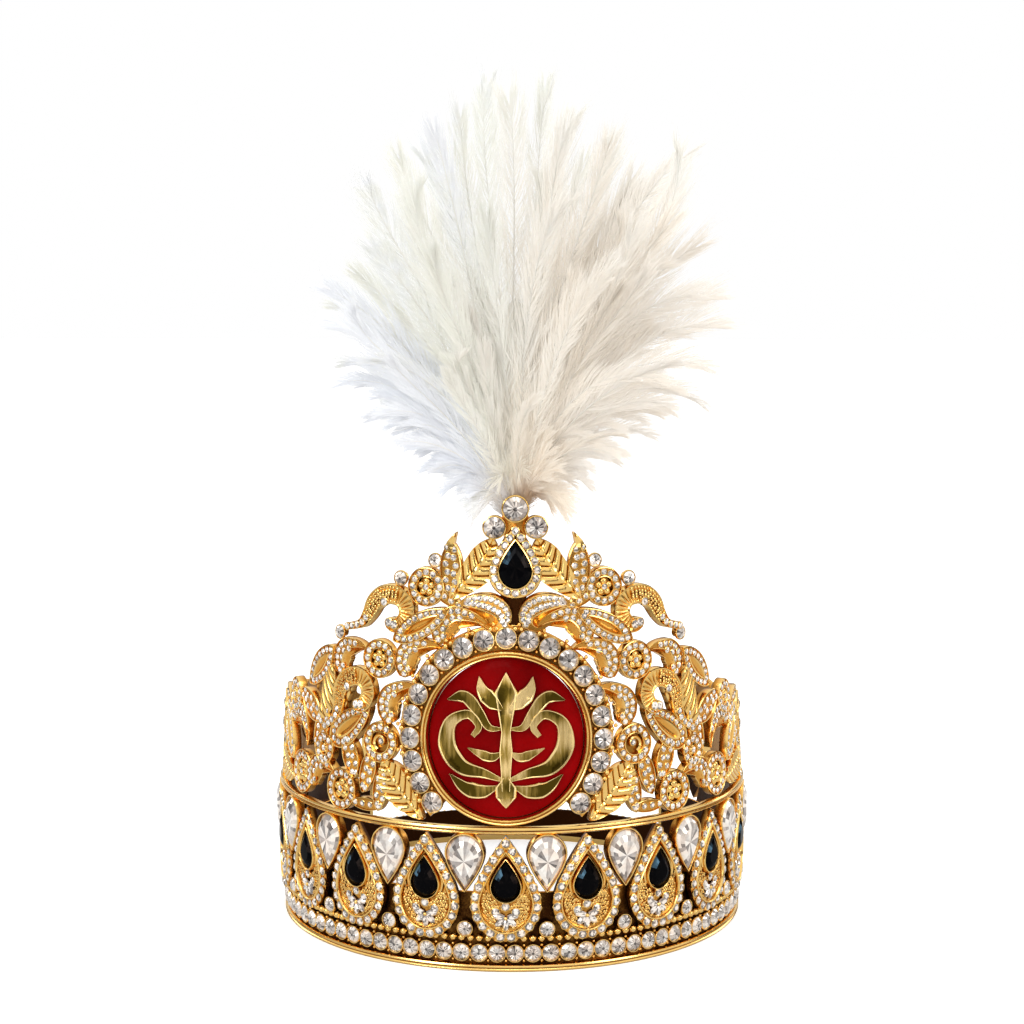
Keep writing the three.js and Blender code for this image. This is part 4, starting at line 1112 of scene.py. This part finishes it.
# ---- the plume ----
# A tied bunch of rooster hackles, bleached white and cream. Each feather is a thin quill on a curve
# that bends outwards, with soft loose barbs: long and fluffy low down, short and pointed at the tip.
# The feathers whose tips make the outline, from the left round to the right: (angle from upright, reach).
outer_tips = [(-80, 24), (-68, 34), (-60, 44), (-58, 60), (-54, 76), (-49, 80), (-43, 92), (-39, 102),
              (-33, 101), (-27, 106), (-23, 127), (-17.5, 133), (-13, 130), (-10.5, 138), (-7, 143),
              (-2.6, 154), (0.5, 146), (5.2, 152), (9.6, 143), (12.5, 128), (15.6, 136), (21, 128),
              (26.4, 142), (29.5, 118), (36, 117), (41, 103), (45, 109), (49.5, 103), (55, 90), (63.5, 82),
              (60, 70), (66, 60), (70, 44), (80, 32)]
quill_root, tube_mouth = 156, 168


def lengthwise(vectors):
    """Vectors made one long."""
    return vectors / np.linalg.norm(vectors, axis=-1, keepdims=True)


def feathers(count, level, thickness):
    """Quills from the root to tips on an ellipsoid under the outline, at levels of its size. A quill is
    a cubic Bezier curve that starts nearer to the vertical than it ends, and droops more the further
    out it leans. Gives its four control points, its reach and its angle."""
    angles, reaches = np.array(outer_tips).T
    order = np.argsort(angles)
    if level is None:
        angle, reach, strays = np.radians(angles), reaches * 0.955, 0.05
        depth = random.uniform(-thickness, thickness, count)
    else:
        lean, strays = random.uniform(-1, 1, count), 0.09
        angle = np.radians(3 + 72 * np.sign(lean) * np.abs(lean) ** 0.85)
        depth = random.uniform(-1, 0.8, count) * thickness
        share = random.uniform(*level, count) * np.sqrt(1 - (depth / 0.66) ** 2)
        reach = np.interp(np.degrees(angle), angles[order], reaches[order]) * share
    start = random.uniform(-1, 1, (count, 3)) * (2.4, 2.2, 0) + tube_place + (0, 0, quill_root)
    arch = 1 - 0.3 * np.abs(angle) * random.uniform(0.75, 1.25, count)
    low_stray, high_stray = random.normal(0, strays, (2, count))

    def toward(share, way, stray):
        lean = angle * share + stray
        direction = np.stack([np.sin(lean), depth * way, np.cos(lean)], -1)
        return direction * (reach * way)[:, None] + tube_place * (1 - way, 1, 1) + (0, 0, tube_mouth)

    control = [start, toward(0.5 * arch, 0.42, low_stray), toward(arch, 0.86, high_stray), toward(1, 1, 0)]
    return np.stack(control), reach, angle


def on_quill(control, way):
    """Places and directions on the quills at shares of their length."""
    first, second, third, fourth = control[:, :, None]
    way = way[..., None]
    rest = 1 - way
    place = rest ** 3 * first + 3 * rest ** 2 * way * second + 3 * rest * way ** 2 * third + way ** 3 * fourth
    along = rest ** 2 * (second - first) + 2 * rest * way * (third - second) + way ** 2 * (fourth - third)
    return place, lengthwise(along)


def vane(control, reach, fluff, spread, count=410, width=0.108):
    """Barbs of a batch of feathers: thin ribbons of three faces that leave the quill at an angle,
    bend towards its tip and end in a point. Barbs of one lock share a part of their scatter."""
    feather = len(reach)
    share = np.tile((np.arange(count // 2) + 0.5) / (count // 2), 2)
    way = np.clip(0.12 + 0.88 * share ** 0.8 + random.normal(0, 0.004, (feather, count)), 0.05, 0.999)
    side = np.repeat([1.0, -1.0], count // 2)[None]
    root, along = on_quill(control, way)
    roll = random.normal(0, 0.5 if fluff < 0.9 else 1.1, feather)
    facing = lengthwise(np.stack([roll, np.full(feather, -1.0), random.normal(0, 0.4, feather)], -1))[:, None]
    across = lengthwise(np.cross(along, facing)) * side[..., None]
    upright = np.cross(across, along)
    side_locks = 18
    locks = (way * 17 + random.random((feather, 1)) * 5).astype(int) % side_locks + (side < 0) * side_locks
    pick = np.arange(feather)[:, None]
    lock_turn = random.normal(0, 0.13, (feather, 2 * side_locks))[pick, locks]
    lock_lift = random.normal(0, 0.32, (feather, 2 * side_locks))[pick, locks]
    lock_length = random.normal(1, 0.15, (feather, 2 * side_locks))[pick, locks]
    opening = np.interp(way, [0, 0.3, 0.8, 1], [0.95, 0.6, 0.42, 0.3]) * spread
    loose = np.interp(way, [0, 0.45, 0.8, 1], [1.3, 1.0, 0.5, 0.35])
    opening += (lock_turn + random.normal(0, 0.1, way.shape)) * loose
    lift = (lock_lift + random.normal(0, 0.16, way.shape)) * loose
    length = np.interp(way, [0, 0.3, 0.7, 0.92, 1], [16, 25, 25, 17, 8]) * fluff * lock_length
    length = length * np.clip(reach[:, None] / 105, 0.36, 1.1) * random.uniform(0.8, 1.1, way.shape)
    sine, cosine = np.sin(opening)[..., None], np.cos(opening)[..., None]
    out = across + upright * lift[..., None]
    leave = lengthwise(along * cosine + out * sine)
    ending = lengthwise(along + out * 0.2 * sine + random.normal(0, 0.09, out.shape))
    flat = lengthwise(np.cross(leave, upright + random.normal(0, 0.3, upright.shape)))
    steps = np.array([0, 0.34, 0.7, 1.0])
    bent = (steps ** 2 / 2)[:, None]
    curve = leave[:, :, None] * (steps[:, None] - bent) + ending[:, :, None] * bent
    middle = root[:, :, None] + length[..., None, None] * curve
    breadth = flat[:, :, None] * (width * np.array([0.8, 1, 0.7, 0.05]))[:, None]
    return np.stack([middle - breadth, middle + breadth], 3).reshape(-1, 8, 3)


def quill_rods(control):
    """The quills themselves: three-sided rods that thin to a point, from 0.46 mm."""
    way = np.tile(np.linspace(0, 0.97, 12), (control.shape[1], 1))
    place, along = on_quill(control, way)
    across = lengthwise(np.cross(along, (0.1, -1.0, 0.2)))
    upright = np.cross(across, along)
    angle = 2 * np.pi * np.arange(3) / 3
    thick = (0.42 * (1 - way) ** 0.7 + 0.04)[..., None, None]
    ring = across[:, :, None] * np.cos(angle)[:, None] + upright[:, :, None] * np.sin(angle)[:, None]
    rods = place[:, :, None] + thick * ring
    root, tip = (np.repeat(end[:, :, None], 3, 2) for end in (place[:, :1], place[:, -1:]))
    return np.concatenate([root, rods, tip], 1).reshape(len(rods), -1, 3)


hackle = Paint("bleached_hackle", "feather")
place = hackle.place()
x, z = (hackle.node("SeparateXYZ", way, Vector=place) for way in "XZ")
drift_noise = hackle.noise(place, 26, 3.0)
streak = hackle.noise(place, 240, 2.0)
tone = hackle.attribute("tone")
high = hackle.math("MAXIMUM", z - 0.25, 0.0)
side_share = tone + drift_noise * 0.34 + streak * 0.2 - 0.27 - high * 2.6
colour = hackle.ramp(side_share, (0.2, (0.852, 0.87, 0.912)), (0.34, (0.855, 0.859, 0.79)),
                     (0.5, (0.905, 0.88, 0.828)), (0.68, (0.935, 0.868, 0.776)), (1.0, (0.895, 0.86, 0.815)))
# Low on the plume, near the stem above the tube, the colour falls to a warm brown: painted shade at the
# plume's root behind the finial, tinted with painted warm light from the gold.
off_stem = (x - 0.006) * (x - 0.006) * 2200.0
low = hackle.ramp(z * 22.0 - 4.05 + off_stem + drift_noise * 0.6, (0.0, (0.55, 0.41, 0.28)),
                  (0.16, (0.92, 0.88, 0.83)), (1.0, (1, 1, 1)))
colour = hackle.blend(1.0, colour, low, "MULTIPLY")
# The lower plume glows a little through its emission: painted light that brightens the dense fluff.
painted_glow = hackle.ramp(z * 8.0 - 1.3, (0.0, (1, 1, 1)), (0.75, (0, 0, 0)))
soft = hackle.node("BsdfPrincipled", Base_Color=colour, Roughness=0.7, IOR=1.3, Emission_Strength=0.16,
                   Emission_Color=hackle.blend(1.0, colour, painted_glow, "MULTIPLY"))
through = hackle.node("BsdfTranslucent", Color=(0.9, 0.895, 0.885, 1))
hackle.finish(hackle.node("MixShader", Fac=streak * 0.3 + 0.2, i1=soft, i2=through))


def tuft(name, barbs, control, tones):
    """A batch of feathers from their barbs and their quills' control points, each with a tone."""
    batch = Piece("tone")
    batch.add(barbs, quads(4, 2), np.repeat(tones, len(barbs) // len(tones))[:, None])
    batch.add(quill_rods(control), quads(14, 3, False, True), 0.5)
    batch.make(name, hackle, "plume", closed=False)


batches = [("outer_hackles", len(outer_tips), None, 0.12, 0.85, 1.0),
           ("upper_hackles", 44, (0.76, 0.97), 0.5, 0.85, 0.8),
           ("middle_hackles", 50, (0.46, 0.82), 0.6, 0.95, 0.75),
           ("short_fluff", 40, (0.2, 0.55), 0.6, 1.1, 0.8)]
for name, count, level, thickness, fluff, spread in batches:
    control, reach, angle = feathers(count, level, thickness)
    barbs = vane(control, reach, fluff, spread)
    tuft(name, barbs, control, 0.5 + angle / 2.6 + random.uniform(-0.1, 0.1, count))
# The lowest down curls out round the mouth of the tube, behind the finial, on short soft quills.
count = 14
lean = np.linspace(-1.35, 1.35, count)
reach = random.uniform(15, 22, count)
outwards = np.stack([np.sin(lean) * reach, random.uniform(-7, 3, count), np.cos(lean) * reach * 0.9], -1)
shares, rises = np.array([0, 0.2, 0.75, 1]), np.array([0, 9, 4, -5])
control = outwards * shares[:, None, None] + rises[:, None, None] * (0, 0, 1) + tube_place
control = control + (0, 0, tube_mouth - 1.5)
tuft("lowest_down", vane(control, reach, 1.3, 1.3, 220), control, 0.45 + lean / 5)
# The dense down in the middle of the bunch, which the loose barbs stand on.
down = Piece("tone")
core_profile = [(0, 160), (2.6, 160), (3.0, 170), (3.6, 180), (6, 195), (8, 208), (8, 220), (6, 230),
                (3, 238), (0, 241)]
points, faces, _ = sized(lathe(core_profile, 32), (1, 0.5, 1), tube_place)
down.add(points, faces, 0.5)
down.make("plume_core", hackle, "plume", crease=180)

low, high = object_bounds()
